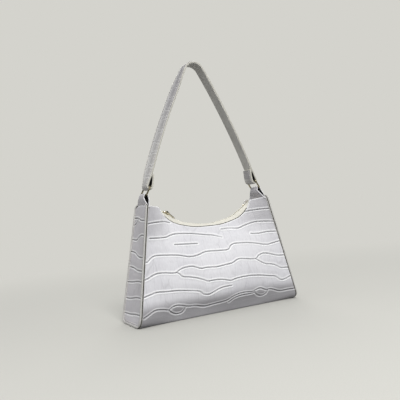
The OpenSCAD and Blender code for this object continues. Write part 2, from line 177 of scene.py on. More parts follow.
# Grooves across the leather under the bag, as [x, y]
BASE_GROOVES = [
    [(-122, -9), (-80, -6), (-40, -10), (0, -7), (50, -11), (122, -8)],
    [(-122, 10), (-70, 13), (-20, 9), (30, 12), (80, 8), (122, 11)],
]


# Curves and grids

def unit(vectors):
    return vectors/np.linalg.norm(vectors, axis=-1, keepdims=True)


def toward(angle):
    """The way at an angle in a plane."""
    return np.array([math.cos(angle), math.sin(angle)])


def circle(count):
    """Angles evenly round a circle."""
    return np.linspace(0, 2*math.pi, count, endpoint=False)


def squarish(angle, first, second):
    """Cosine and sine of an angle, pushed out to a square's corners by powers below 1."""
    c, s = math.cos(angle), math.sin(angle)
    return math.copysign(abs(c)**first, c), math.copysign(abs(s)**second, s)


def soft_step(low, high, value):
    share = np.clip((value - low)/(high - low), 0, 1)
    return share*share*(3 - 2*share)


def bump_at(value, middle, half):
    """1 at the middle and almost nothing two halves away from it."""
    return np.exp(-((value - middle)/half)**2)


def smooth_line(points, step):
    """A smooth line through given points, with a point about every step."""
    points = np.array(points, float)
    ends = np.vstack([2*points[0] - points[1], points, 2*points[-1] - points[-2]])
    out = []
    for a, b, c, d in zip(ends, ends[1:], ends[2:], ends[3:]):
        count = max(1, int(np.linalg.norm(c - b)/step))
        t = np.linspace(0, 1, count, endpoint=False)[:, None]
        out.append(0.5*(2*b + (c - a)*t + (2*a - 5*b + 4*c - d)*t**2 + (3*b - a - 3*c + d)*t**3))
    out.append(points[-1:])
    return np.vstack(out)


def run_along(line):
    """How far along a line each of its points is."""
    return np.concatenate([[0], np.cumsum(np.linalg.norm(np.diff(line, axis=0), axis=1))])


def places_at(at, run, points):
    """Places at distances along a line."""
    return np.stack([np.interp(at, run, points[:, k]) for k in range(points.shape[1])], axis=-1)


def even_line(points, count):
    """The same line with its points evenly spaced."""
    points = np.asarray(points, float)
    run = run_along(points)
    return places_at(np.linspace(0, run[-1], count), run, points)


def distance_to(x, w, line, reach):
    """Distance of each place from a line, or FAR beyond its reach."""
    near = ((x > line[:, 0].min() - reach) & (x < line[:, 0].max() + reach)
            & (w > line[:, 1].min() - reach) & (w < line[:, 1].max() + reach))
    gap = np.full(x.shape, float(FAR))
    places = np.stack([x[near], w[near]], -1).astype(np.float32)
    if len(places):
        start = line[:-1].astype(np.float32)
        run = (line[1:] - line[:-1]).astype(np.float32)
        share = np.clip(((places[:, None] - start)*run).sum(-1)/(run**2).sum(-1), 0, 1)
        off = places[:, None] - (start + share[..., None]*run)
        gap[near] = np.sqrt((off**2).sum(-1)).min(1)
    return gap


def emboss(x, w, lines):
    """Height of pressed leather, and how deep in a groove and how high on a lip each place is."""
    gap = np.full(x.shape, float(FAR))
    lip = np.zeros(x.shape)
    for line in lines:
        path = smooth_line(line, GROOVE_STEP)
        off = distance_to(x, w, path, 3*PILLOW_REACH)
        order = np.argsort(path[:, 0])
        share = np.where(w < np.interp(x, path[order, 0], path[order, 1]), 1.0, UPPER_LIP)
        lip = np.maximum(lip, share*np.exp(-((off - LIP_AT)/LIP_HALF)**4))
        gap = np.minimum(gap, off)
    groove = bump_at(gap, 0, GROOVE_HALF)
    lip = lip*(1 - groove)
    pillow = PILLOW_RISE*(1 - bump_at(gap, 0, PILLOW_REACH))
    return pillow + LIP_RISE*lip - GROOVE_DEPTH*groove, groove, lip


def grid_normals(grid):
    """Normals of a grid of points, on the side that the columns then the rows turn to."""
    normal = np.cross(np.gradient(grid, axis=0), np.gradient(grid, axis=1))
    return normal/np.maximum(np.linalg.norm(normal, axis=2, keepdims=True), 1e-9)


def flat_normals(line):
    """Normals of a line in the XZ plane, to the left of its way."""
    run = unit(np.gradient(line, axis=0))
    return np.column_stack([-run[:, 2], np.zeros(len(line)), run[:, 0]])


def sheet_faces(columns, rows, first=0, turned=False):
    i, j = np.meshgrid(np.arange(columns - 1), np.arange(rows - 1), indexing="ij")
    a = first + (i*rows + j).ravel()
    quads = np.stack([a, a + rows, a + rows + 1, a + 1], axis=1)
    return (quads[:, ::-1] if turned else quads).tolist()


def shell(outer, inner, stride=1):
    """Closes two grids of points into one skin. The inner one may skip rows of the outer one."""
    columns, rows = outer.shape[:2]
    inner_rows = inner.shape[1]
    skin = columns*rows
    points = np.vstack([outer.reshape(-1, 3), inner.reshape(-1, 3)])
    faces = sheet_faces(columns, rows) + sheet_faces(columns, inner_rows, skin, turned=True)
    for j, k in ((0, 0), (rows - 1, inner_rows - 1)):
        for i in range(columns - 1):
            face = [i*rows + j, skin + i*inner_rows + k, skin + (i + 1)*inner_rows + k,
                    (i + 1)*rows + j]
            faces.append(face if j == 0 else face[::-1])
    for i in (0, columns - 1):
        for k in range(inner_rows - 1):
            side = [i*rows + k*stride + step for step in range(stride + 1)]
            face = side + [skin + i*inner_rows + k + 1, skin + i*inner_rows + k]
            faces.append(face if i == 0 else face[::-1])
    return points, faces


def sweep(sections, closed=False):
    """Joins cross-sections, each a ring of points, into one tube with ends or into a loop."""
    sections = np.asarray(sections, float)
    stations, ring = sections.shape[:2]
    faces = []
    for i in range(stations if closed else stations - 1):
        here, there = i*ring, (i + 1) % stations*ring
        for j in range(ring):
            k = (j + 1) % ring
            faces.append([here + j, here + k, there + k, there + j])
    if not closed:
        faces.append(list(range(ring))[::-1])
        faces.append([(stations - 1)*ring + j for j in range(ring)])
    return sections.reshape(-1, 3), faces


def round_sections(path, ups, sides, radius, count):
    """Round cross-sections along a path. Ups and sides are the two ways across it."""
    return [[place + radius*(math.cos(a)*up + math.sin(a)*side) for a in circle(count)]
            for place, up, side in zip(path, ups, sides)]


def joined(parts):
    """One set of points and faces from several."""
    points, faces, count = [], [], 0
    for part_points, part_faces in parts:
        points.append(np.asarray(part_points, float))
        faces.extend([[count + k for k in face] for face in part_faces])
        count += len(part_points)
    return np.vstack(points), faces


def flipped(part, signs):
    points, faces = part
    return points*np.array(signs), [face[::-1] for face in faces]


def mirrored(part):
    """The same piece on the other side of the bag."""
    return flipped(part, [-1, 1, 1])


def turned_back(part):
    """The same piece behind the bag's middle plane."""
    return flipped(part, [1, -1, 1])


SIDES = (("left", -1, mirrored), ("right", 1, lambda part: part))


def round_box(low, high, soft):
    """A small block whose edges are rounded."""
    low, high = np.array(low, float), np.array(high, float)
    half, middle = (high - low)[:2]/2, (low + high)[:2]/2
    quarter = np.radians([0, 30, 60, 90])
    ring = np.array([middle + np.sign(toward(corner + math.pi/4))*(half - soft)
                     + soft*toward(corner + turn)
                     for corner in np.radians([0, 90, 180, 270]) for turn in quarter])
    sections = []
    for level, inwards, turns in ((low[2], 1, quarter[::-1]), (high[2], -1, quarter)):
        for turn in turns:
            size = 1 - soft*(1 - math.cos(turn))/half
            height = level + inwards*soft*(1 - math.sin(turn))
            sections.append(np.column_stack([middle + (ring - middle)*size,
                                             np.full(len(ring), height)]))
    return sweep(sections)


def new_piece(name, part, body, material, marks=None, node=None, crisp=None):
    """Makes a piece from points in millimetres, gives it its finish and lets it ride.
    It stands for the CAD node that is named, and its corners over crisp degrees stay sharp."""
    points, faces = part
    mesh = bpy.data.meshes.new(name)
    mesh.from_pydata((np.asarray(points)*MM).tolist(), [], faces)
    for mark, values in (marks or {}).items():
        layer = mesh.attributes.new(mark, "FLOAT", "POINT")
        full = np.zeros(len(points), np.float32)
        full[:len(values)] = values
        layer.data.foreach_set("value", full)
    mesh.polygons.foreach_set("use_smooth", np.ones(len(faces), bool))
    mesh.materials.append(material)
    mesh.validate()
    piece = bpy.data.objects.new(name, mesh)
    bpy.context.scene.collection.objects.link(piece)
    if body:
        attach(piece, body)
    if node:
        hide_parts(node)
    if crisp:
        mesh.set_sharp_from_angle(angle=math.radians(crisp))
    return piece


# Finishes

class Sock:
    """A socket of a node. Arithmetic on it adds Math nodes."""

    def __init__(self, nodes, link):
        self.nodes = nodes
        self.link = link

    def math(self, operation, first, second):
        return self.nodes.node("Math", {"operation": operation}, {0: first, 1: second})

    def __add__(self, other):
        return self.math("ADD", self, other)

    __radd__ = __add__

    def __sub__(self, other):
        return self.math("SUBTRACT", self, other)

    def __rsub__(self, other):
        return self.math("SUBTRACT", other, self)

    def __mul__(self, other):
        return self.math("MULTIPLY", self, other)

    __rmul__ = __mul__


class Nodes:
    """The nodes of a material or of the world."""

    def __init__(self, owner, end):
        owner.use_nodes = True
        self.owner = owner
        self.tree = owner.node_tree
        self.tree.nodes.clear()
        self.out = self.tree.nodes.new("ShaderNode" + end)

    def node(self, kind, settings, inputs, output=0):
        """Adds a node: its settings first, then the values or links of its sockets."""
        node = self.tree.nodes.new("ShaderNode" + kind)
        for name, value in settings.items():
            setattr(node, name, value)
        for name, value in inputs.items():
            if isinstance(value, Sock):
                self.tree.links.new(value.link, node.inputs[name])
            else:
                node.inputs[name].default_value = value
        return Sock(self, node.outputs[output])

    def place(self):
        return self.node("TexCoord", {}, {}, "Object")

    def stretched(self, x, y, z, place=None):
        """The place on the piece, or another, stretched along each direction."""
        return self.node("Mapping", {}, {"Vector": place or self.place(), "Scale": (x, y, z)})

    def noise(self, place, scale, detail=2.0, roughness=0.5, output=0):
        return self.node("TexNoise", {}, {"Vector": place, "Scale": scale, "Detail": detail,
                                          "Roughness": roughness}, output)

    def borders(self, place, scale, randomness=1.0):
        """Distance from the nearest border of a pattern of cells."""
        return self.node("TexVoronoi", {"feature": "DISTANCE_TO_EDGE"},
                         {"Vector": place, "Scale": scale, "Randomness": randomness})

    def waves(self, scale, direction, distortion):
        return self.node("TexWave", {"bands_direction": direction, "wave_profile": "SIN"},
                         {"Vector": self.place(), "Scale": scale, "Distortion": distortion},
                         "Fac")

    def mark(self, name):
        return self.node("Attribute", {"attribute_name": name}, {}, "Fac")

    def ray(self, kind):
        return self.node("LightPath", {}, {}, "Is " + kind + " Ray")

    def ranged(self, value, low, high, to_low, to_high):
        """A value from one range, moved smoothly into another."""
        return self.node("MapRange", {"interpolation_type": "SMOOTHSTEP"},
                         {0: value, 1: low, 2: high, 3: to_low, 4: to_high})

    def mix(self, share, first, second):
        return self.node("Mix", {"data_type": "RGBA"}, {0: share, 6: first, 7: second}, 2)

    def mottled(self, value, low, high, first, second, most=1.0):
        """One colour that turns into another as a value rises, as far as a share of the way."""
        return self.mix(self.ranged(value, low, high, 0.0, most), first, second)

    def bump(self, height, strength, distance):
        return self.node("Bump", {}, {"Height": height, "Strength": strength,
                                      "Distance": distance})

    def mixed(self, share, first, second):
        """Two shaders in one."""
        return self.node("MixShader", {}, {0: share, 1: first, 2: second})

    def ends_in(self, shader):
        """Ends the nodes in a shader, and gives what they belong to."""
        self.tree.links.new(shader.link, self.out.inputs["Surface"])
        return self.owner

    def surface(self, **sockets):
        """Ends a finish in one surface shader."""
        names = {"color": "Base Color", "rough": "Roughness", "metal": "Metallic",
                 "normal": "Normal", "coat": "Coat Weight", "coat_rough": "Coat Roughness",
                 "sheen": "Sheen Weight", "sheen_rough": "Sheen Roughness", "shine": "IOR"}
        inputs = {names[key]: value for key, value in sockets.items()}
        return self.ends_in(self.node("BsdfPrincipled", {}, inputs))


def new_finish(name):
    return Nodes(bpy.data.materials.new(name), "OutputMaterial")


def rgb(red, green, blue):
    """A colour as it shows, from 0 to 255, in the form that nodes take."""
    linear = [(c/255/12.92) if c <= 10 else ((c/255 + 0.055)/1.055)**2.4
              for c in (red, green, blue)]
    return (*linear, 1.0)


FULL_TURN = 6.2832
# White: painted highlight on lips and the rim, and the pale colour of cut edges
WHITE = rgb(255, 255, 255)
# Painted shadow inside loops and folds
PAINTED_SHADOW_BLACK = rgb(4, 4, 4)
RIB_TONE = rgb(172, 170, 175)
# Painted shade in creases and wrinkles
CREASE_TONE = rgb(150, 148, 152)
# Painted shade on the foot, horns, strap and tab
PAINTED_SHADE_TONE = rgb(159, 157, 160)
# Painted shade in the grooves
GROOVE_TONE = rgb(104, 103, 107)
PORE_TONE = rgb(120, 118, 114)
STUDIO_TONE = rgb(212, 211, 205)


def creases(f):
    """Faint creases between small tiles and finer wrinkles, both only in patches."""
    wander = f.noise(f.place(), 60, 3, output="Color")
    bent = f.node("VectorMath", {"operation": "MULTIPLY_ADD"},
                  {0: wander, 1: (0.006, 0.006, 0.006), 2: f.place()})
    tiles = f.borders(f.stretched(84, 40, 17, bent), 1.0, 0.75)
    crease = f.ranged(tiles, 0.0, 0.05, 1.0, 0.0)*f.ranged(
        f.noise(f.place(), 55), 0.40, 0.62, 0.1, 1.0)
    folds = f.borders(f.stretched(310, 200, 90, bent), 1.0)
    wrinkle = f.ranged(folds, 0.0, 0.12, 1.0, 0.0)*f.ranged(
        f.noise(f.place(), 90), 0.42, 0.62, 0.0, 1.0)
    return crease, wrinkle


def pressed_leather(name, face, shade):
    """Pale leather with pressed tiles, faint creases and fine grain. Painted shade darkens the
    creases, wrinkles and grooves and wherever the under mark is; the inside mark paints shadow
    black; the lip mark paints a highlight on pressed lips and the rim, and gives cut edges their
    pale colour.
    """
    f = new_finish(name)
    groove, lip, inside, under = [f.mark(mark) for mark in ("groove", "lip", "inside", "under")]
    crease, wrinkle = creases(f)
    drift = f.noise(f.place(), 18)
    ribs = f.noise(f.stretched(620, 620, 110), 1.0)
    pores = f.noise(f.place(), 2400, 3, 0.6)
    # Painted highlight on pressed lips and the rim, less where painted shade is; the same mark
    # gives cut edges their pale colour
    lit_lips_and_pale_edges = lip*f.ranged(drift, 0.3, 0.6, 1.0, 0.85)*(1 - under*0.5)
    color = f.mottled(drift, 0.35, 0.7, face, shade)
    color = f.mottled(ribs, 0.35, 0.65, color, RIB_TONE, 0.10)
    # Creases, wrinkles, grooves and the under mark get painted shade; the inside mark paints shadow
    # black
    for share, tone in ((crease*0.19, CREASE_TONE), (wrinkle*0.08, CREASE_TONE),
                        (under, PAINTED_SHADE_TONE), (groove*0.85, GROOVE_TONE), (lit_lips_and_pale_edges, WHITE),
                        (inside, PAINTED_SHADOW_BLACK)):
        color = f.mix(share, color, tone)
    rough = f.ranged(pores, 0.3, 0.7, 0.42, 0.54) + groove*0.12 + inside*0.3
    height = pores*0.10 - crease*0.36 - wrinkle*0.16
    return f.surface(color=color, rough=rough, normal=f.bump(height, 0.5, 0.00022),
                     coat=(1 - inside)*0.07, coat_rough=0.32, shine=1.47)


def plain_leather(name, face, shade):
    """Smooth leather backing with a fine grain, painted shadow black where the inside mark is."""
    f = new_finish(name)
    grain, inside = f.borders(f.place(), 1100), f.mark("inside")
    patch = f.noise(f.place(), 45, 3)
    color = f.mottled(patch, 0.35, 0.7, face, shade)
    color = f.mix(f.ranged(grain, 0.0, 0.12, 0.16, 0.0), color, PORE_TONE)
    return f.surface(color=f.mix(inside, color, PAINTED_SHADOW_BLACK),
                     rough=f.ranged(patch, 0.3, 0.7, 0.40, 0.55) + inside*0.4,
                     normal=f.bump(f.ranged(grain, 0.0, 0.3, 0.0, 1.0), 0.35, 0.00012))


def edge_paint(name, face, shade):
    """Paint on a cut leather edge, slightly uneven along it."""
    f = new_finish(name)
    patch = f.noise(f.stretched(300, 300, 300), 1.0, 3)
    fine = f.noise(f.place(), 1600)
    return f.surface(color=f.mottled(patch, 0.3, 0.7, face, shade),
                     rough=f.ranged(patch, 0.3, 0.7, 0.34, 0.5),
                     normal=f.bump(patch*0.7 + fine*0.3, 0.4, 0.00015), coat=0.2,
                     coat_rough=0.25)


def woven_cloth(name, thread, gap, pitch, depth):
    """Plain weave: crossed threads a pitch apart, in millimetres."""
    f = new_finish(name)
    scale = 1000/pitch/FULL_TURN
    across, along = f.waves(scale, "X", 0.15), f.waves(scale, "Z", 0.15)
    weave = across*(1 - along) + along*(1 - across)
    patch = f.noise(f.place(), 60, 3)
    color = f.mottled(weave, 0.2, 0.8, gap, thread)
    return f.surface(color=f.mottled(patch, 0.4, 0.7, color, gap, 0.25),
                     rough=f.ranged(patch, 0.3, 0.7, 0.72, 0.86),
                     normal=f.bump(weave, 0.5, depth), sheen=0.25, sheen_rough=0.4)


def moulded(name, face, shade):
    """Satin moulded plastic."""
    f = new_finish(name)
    patch = f.noise(f.place(), 700, 3)
    return f.surface(color=f.mottled(patch, 0.3, 0.7, face, shade),
                     rough=f.ranged(patch, 0.3, 0.7, 0.28, 0.42),
                     normal=f.bump(patch, 0.2, 0.00008))


def plated(name, face, shade):
    """Pale gold plating with fine scratches and a little handling dullness."""
    f = new_finish(name)
    scratches = f.noise(f.stretched(900, 5200, 900), 1.0, 3)
    patch = f.noise(f.place(), 220, 3)
    return f.surface(color=f.mottled(patch, 0.35, 0.7, face, shade), metal=1.0,
                     rough=f.ranged(patch, 0.3, 0.75, 0.10, 0.22),
                     normal=f.bump(scratches, 0.10, 0.00005))


def pressed_board(name, face, shade):
    """Stiff fibre board."""
    f = new_finish(name)
    fibre = f.noise(f.stretched(300, 900, 900), 1.0, 4, 0.65)
    return f.surface(color=f.mottled(fibre, 0.3, 0.7, face, shade),
                     rough=f.ranged(fibre, 0.3, 0.7, 0.75, 0.9),
                     normal=f.bump(fibre, 0.4, 0.0002))


def sewing_thread(name, face, shade):
    """Twisted thread."""
    f = new_finish(name)
    twist = f.waves(420, "DIAGONAL", 0.4)
    return f.surface(color=f.mix(twist, shade, face), rough=f.ranged(twist, 0.0, 1.0, 0.5, 0.7),
                     normal=f.bump(twist, 0.5, 0.0001))


LEATHER = pressed_leather("pressed_leather", rgb(235, 234, 237), rgb(227, 226, 230))
SIDE_LEATHER = pressed_leather("side_leather", rgb(219, 216, 220), rgb(211, 208, 212))
STRAP_LEATHER = pressed_leather("strap_leather", rgb(212, 210, 205), rgb(202, 200, 196))
BACKING = plain_leather("strap_backing", rgb(217, 215, 208), rgb(207, 205, 199))
DARK_PAINT = edge_paint("seam_paint", rgb(72, 69, 60), rgb(60, 58, 50))
CREAM_PAINT = edge_paint("cream_edge_paint", rgb(212, 209, 198), rgb(202, 199, 187))
CLOTH = woven_cloth("lining_cloth", rgb(236, 232, 222), rgb(214, 208, 196), 0.55, 0.00012)
TAPE = woven_cloth("tape_weave", rgb(233, 230, 219), rgb(223, 220, 208), 0.5, 0.0001)
TEETH = moulded("zip_teeth", rgb(244, 241, 228), rgb(232, 228, 212))
GOLD = plated("pale_gold", rgb(222, 213, 188), rgb(204, 194, 166))
# Painted dark reflection: the rings' pale gold is darkened in its colour
PAINTED_DARK_RING_GOLD = plated("dark_gold", rgb(152, 144, 118), rgb(130, 122, 97))
BOARD = pressed_board("fibre_board", rgb(176, 166, 148), rgb(152, 142, 124))
THREAD = sewing_thread("cream_thread", rgb(238, 235, 228), rgb(214, 210, 202))


# The walls

BASE_ROWS = 40
RISE_ROWS = 240
ROW_STRIDE = 10
COLUMN_PITCH = 1.3
STEEP_SHARE = 2.4
SAG_FROM_SIDE = 9
SAG_FROM_RIM = 12
SAG_FROM_FOOT = (-8, 20)
RIM_ROUND = 0.45
RIM_ROUND_HALF = 0.6
RIM_HIGHLIGHT_HALF = 0.9
FLOOR_GAP = 0.02
LEATHER_CORNER = 50

# How the back's sag and grooves differ from the front's
BACK_SHIFT = 40
BACK_WANDER = 3
BACK_WANDER_RUN = 40

# Painted shade: how dark the foot and the horns are painted, and between which heights or places it
# deepens
FOOT_SHADE = 0.75
FOOT_FADE = (15, 33)
FOOT_DEEPENS = (4, 14)
RIGHT_HORN_SHADE = 0.68
RIGHT_HORN_FADE = (34, 80)
LEFT_HORN_SHADE = 0.46
LEFT_HORN_FADE = (54, 86)
HORN_CLIMB = (98, 130)
BACK_SHADE = 0.55


def rim_z(x):
    """Height of the rim: low over the mouth, then round a small corner onto each horn."""
    out = np.abs(x)
    share = np.clip(out/HALF_MOUTH, 0, 1)
    rim = BODY_H - RIM_DROP*(1 - share**MOUTH_FLATNESS)**(1/MOUTH_ROUNDNESS)
    rim = rim + RIM_LIFT*bump_at(out, RIM_LIFT_AT, RIM_LIFT_HALF)
    inward = np.clip(HORN_X + HORN_R - out, 0, HORN_R)
    corner = BODY_H - HORN_R + np.sqrt(HORN_R**2 - inward**2)
    rise = HORN_RISE*np.clip((out - HORN_X - HORN_R)/(HALF_SHOULDER - HORN_X - HORN_R), 0, 1)
    return np.where(out > HORN_X, corner + rise, np.minimum(rim, BODY_H - HORN_R))


def rim_y(x):
    out = np.clip((np.abs(x) - HALF_MOUTH)/(HALF_SHOULDER - HALF_MOUTH), 0, 1)
    return MOUTH_D/2 + (SHOULDER_D - MOUTH_D)/2*out**HORN_BEND


def wall_y(x, share):
    late = 1 + (LEAN_LATENESS - 1)*(1 - (x/HALF_SHOULDER)**2)
    return (BASE_D/2 + (rim_y(x) - BASE_D/2)*share**late
            + BELLY*(1 - (np.abs(x)/HALF_SHOULDER)**4)*np.sin(math.pi*share))


def tuck_in(x, z, edge):
    """How far a wall draws in above its foot: most in its middle, nothing at the seams."""
    middle = 1 - np.clip(np.abs(x)/edge, 0, 1)**4
    low = np.clip(1 - z/TUCK_TOP, 0, 1)**2
    return TUCK*middle*low*(1 - np.exp(-z/TUCK_SOFT))


def wall_points(x, v, inset, drop, edge):
    """Places of the front wall: x at the rim, v from -1 to 0 round the base and to 1 at the rim."""
    x, v = np.meshgrid(x, v, indexing="ij")
    top = rim_z(x) - drop
    turn = math.pi/2*(np.minimum(v, 0) + 1)
    rise = np.maximum(v, 0)
    z = np.where(v < 0, CORNER_R - (CORNER_R - inset)*np.cos(turn),
                 CORNER_R + (top - CORNER_R)*rise)
    share = rise*(top - CORNER_R)/(rim_z(x) - CORNER_R)
    y = np.where(v < 0, BASE_D/2 - CORNER_R + (CORNER_R - inset)*np.sin(turn),
                 wall_y(x, share) - inset)
    y = y - tuck_in(x, z - inset*np.exp(-z/TUCK_SOFT), edge)
    wide = x*(1 + (HALF_BASE - HALF_SHOULDER)/edge*(1 - z/rim_z(x)))
    return np.stack([wide, -y, z], axis=-1)


def rim_columns(edge, pitch):
    """Places along the rim, a pitch apart where it is level and closer where it climbs."""
    fine = HALF_MOUTH*np.sin(np.linspace(0, math.pi/2, 600))
    climb = STEEP_SHARE*np.diff(rim_z(fine))
    run = np.concatenate([[0], np.cumsum(np.hypot(np.diff(fine), climb))])
    half = np.interp(np.linspace(0, run[-1], int(run[-1]/pitch) + 1), run, fine)
    horn = np.linspace(HALF_MOUTH, edge, int((edge - HALF_MOUTH)/pitch) + 2)[1:]
    right = np.concatenate([half[1:], horn])
    return np.concatenate([-right[::-1], [0], right])


def wall_rows(base_rows, rise_rows):
    return np.concatenate([np.linspace(-1, 0, base_rows, endpoint=False),
                           np.linspace(0, 1, rise_rows + 1)])


def sag(x, w):
    """Slow dents and swells of leather that has been handled."""
    return (0.55*np.sin(x/31 + 0.7)*np.sin(w/37 + 1.1) + 0.35*np.sin(x/17 - w/23 + 2.0)
            + 0.18*np.sin(x/9.5 + w/13))


def wall_shade(x, up, z):
    """How much painted shade the leather gets towards its foot and up its horns."""
    foot = (1 - soft_step(*FOOT_FADE, up))*(
        FOOT_SHADE + (1 - FOOT_SHADE)*soft_step(*FOOT_DEEPENS, up))
    horn = np.where(x > 0, RIGHT_HORN_SHADE*soft_step(*RIGHT_HORN_FADE, x),
                    LEFT_HORN_SHADE*soft_step(*LEFT_HORN_FADE, -x))
    return np.maximum(foot, horn*soft_step(*HORN_CLIMB, z))


def leather_wall(lines, shift):
    """The pressed leather of one wall, as a closed skin with its marks."""
    columns = rim_columns(PANEL_EDGE, COLUMN_PITCH)
    rows = wall_rows(BASE_ROWS, RISE_ROWS)
    outer = wall_points(columns, rows, 0, 0, PANEL_EDGE)
    inner = wall_points(columns, rows[::ROW_STRIDE], LEATHER_T, 0, PANEL_EDGE)
    x, z = outer[..., 0], outer[..., 2]
    climb = np.broadcast_to(rows, x.shape)
    up = np.where(climb < 0, CORNER_R*(1 + climb*math.pi/2), z)
    height, groove, lip = emboss(x, up, lines)
    below_rim = rim_z(columns)[:, None] - z
    slope = np.gradient(rim_z(columns), columns)
    from_rim = below_rim/np.sqrt(1 + slope**2)[:, None]
    loose = (soft_step(0, SAG_FROM_SIDE, PANEL_EDGE - np.abs(columns))[:, None]
             * soft_step(0, SAG_FROM_RIM, below_rim)*soft_step(*SAG_FROM_FOOT, up))
    height = height + sag(x + shift, up)*loose - PILLOW_RISE/2
    height = height - RIM_ROUND*bump_at(from_rim, 0, RIM_ROUND_HALF)
    # Painted highlight along the rim
    lip = np.maximum(lip, bump_at(from_rim, 0, RIM_HIGHLIGHT_HALF))
    outer = outer + grid_normals(outer)*height[..., None]
    outer[..., 2] = np.maximum(outer[..., 2], FLOOR_GAP)
    # The under mark carries the painted shade of the foot and horns
    marks = {"groove": groove.ravel(), "lip": lip.ravel(),
             "under": wall_shade(x, up, z).ravel()}
    return shell(outer, inner, ROW_STRIDE), marks


def make_walls():
    part, marks = leather_wall(GROOVES, 0)
    new_piece("front_leather", part, "bag", LEATHER, marks, "front_panel",
              LEATHER_CORNER)
    back_grooves = [[(-x, w + BACK_WANDER*math.sin(x/BACK_WANDER_RUN)) for x, w in line]
                    for line in GROOVES]
    part, marks = leather_wall(back_grooves, BACK_SHIFT)
    # The back wall gets a smaller share of the painted shade
    marks["under"] *= BACK_SHADE
    new_piece("back_leather", turned_back(part), "bag", LEATHER, marks,
              "back_panel", LEATHER_CORNER)


BASE_CREST = 0.15
BASE_EMBOSS = 0.3


def make_base():
    """The flat leather under the bag."""
    half = HALF_BASE - SEAM_T/math.cos(SLANT) - LEATHER_T*math.tan(SLANT)
    x, y = np.meshgrid(np.linspace(-half, half, 190), np.linspace(FLAT_D/2, -FLAT_D/2, 46),
                       indexing="ij")
    height, groove, lip = emboss(x, y, BASE_GROOVES)
    low = np.maximum(BASE_CREST - BASE_EMBOSS*height + BASE_EMBOSS*PILLOW_RISE, 0)
    part = shell(np.stack([x, y, low], axis=-1),
                 np.stack([x, y, np.full(x.shape, float(LEATHER_T))], axis=-1))
    # The whole base gets the foot's painted shade
    marks = {"groove": groove.ravel(), "lip": lip.ravel(),
             "under": np.full(groove.size, FOOT_SHADE)}
    new_piece("base_leather", part, "bag", LEATHER, marks, "base_panel",
              LEATHER_CORNER)


# The gussets and their bound seams, drawn for the right side and mirrored for the left

HEAD_RISE = 3.2
HEAD_TOP = SLANT_H + HEAD_RISE
HEAD_ARCH = 1.8
HEAD_ARCH_FROM = 8
HEAD_TAPER = 0.8
HEAD_WEAR = (1.3, 0.7)
HOLLOW = 1.6
HOLLOW_FOOT = (-1, 13)
HOLLOW_HEAD = (50, 12)
GUSSET_EMBOSS = 0.8
SEAM_TURN_IN = 6.0
SEAM_STATIONS = 400
SEAM_TIP = 0.15
SEAM_TAPER = (-1, 9)
SEWN_FROM_SEAM = 1.9
SEWN_UNDER_HEAD = 6
THREAD_SINK = 0.15
SIDE_NORMAL = np.array([math.cos(SLANT), 0, math.sin(SLANT)])

# A stitch, as shares of its length, its radius and its lift
STITCH_SHAPE = ((0, 0.25, -1.0), (0.12, 0.8, 0.0), (0.5, 1.0, 0.35), (0.88, 0.8, 0.0),
                (1, 0.25, -1.0))


def side_point(depth, y, s):
    """A place in the gusset's plane: its depth under it, y, and its height up the slope."""
    depth, y, s = np.broadcast_arrays(np.asarray(depth, float), y, s)
    return np.stack([HALF_BASE - depth*math.cos(SLANT) - s*math.sin(SLANT), y,
                     s*math.cos(SLANT) - depth*math.sin(SLANT)], axis=-1)


def side_half(s, inset):
    """Half the width of a gusset at a height up its slope."""
    middle = BASE_D/2 - CORNER_R
    r = CORNER_R - inset
    low = SEAM_LIFT + CORNER_R
    bottom = middle + np.sqrt(np.maximum(r**2 - np.maximum(low - s, 0)**2, 0))
    share = np.clip((s - low)/(SLANT_H - low), 0, None)
    return np.where(s < low, bottom, middle + r + (SHOULDER_D/2 - BASE_D/2)*share)


def gusset_leather():
    """A gusset: flat at its edges, slightly hollow between them, with a narrowing head."""
    low = SEAM_LIFT + SEAM_W
    r = CORNER_R - SEAM_W
    arc = SEAM_LIFT + CORNER_R - r*np.cos(np.linspace(0, math.pi/2, 14))
    s = np.concatenate([arc, np.linspace(arc[-1], HEAD_TOP, 240)[1:]])
    half = side_half(s, SEAM_W) - np.maximum(s - SLANT_H, 0)*HEAD_TAPER
    t = np.linspace(-1, 1, 58)[:, None]
    y = half*t
    up = s - HEAD_ARCH*t**2*soft_step(SLANT_H - HEAD_ARCH_FROM, HEAD_TOP, s)
    height, groove, lip = emboss(y, up, GUSSET_GROOVES)
    lip = np.maximum(lip, soft_step(HEAD_TOP - HEAD_WEAR[0], HEAD_TOP - HEAD_WEAR[1], s))
    hollow = HOLLOW*(1 - t**2)*soft_step(low + HOLLOW_FOOT[0], low + HOLLOW_FOOT[1], up)*(
        1 - soft_step(SLANT_H - HOLLOW_HEAD[0], SLANT_H - HOLLOW_HEAD[1], up))
    outer = side_point(SEAM_PROUD + hollow - GUSSET_EMBOSS*(height - PILLOW_RISE), y, up)
    inner = side_point(SEAM_PROUD + LEATHER_T + hollow, y, up)
    marks = {"groove": groove[::-1].ravel(), "lip": lip[::-1].ravel()}
    return shell(outer[::-1], inner[::-1]), marks


def seam_path(inset, top, turn_in=0.0):
    """Round a gusset's outline, from its front shoulder under the base to its back shoulder.
    turn_in is how far each end goes on, at a slant, onto the root of the tab."""
    middle = BASE_D/2 - CORNER_R
    r = CORNER_R - inset
    turn = np.linspace(0, math.pi/2, 20)
    flip = np.array([-1, 1])
    front = np.column_stack([-middle - r*np.cos(turn), SEAM_LIFT + CORNER_R - r*np.sin(turn)])
    shoulder = SHOULDER_D/2 - inset
    line = np.vstack([[[-shoulder, top]], front, front[::-1]*flip, [[shoulder, top]]])
    if turn_in:
        tip = np.array([shoulder - 0.9*turn_in, top + turn_in])
        near = np.array([shoulder - 0.15*turn_in, top + 0.35*turn_in])
        line = np.vstack([[tip*flip, near*flip], line, [near, tip]])
    return even_line(line, SEAM_STATIONS)


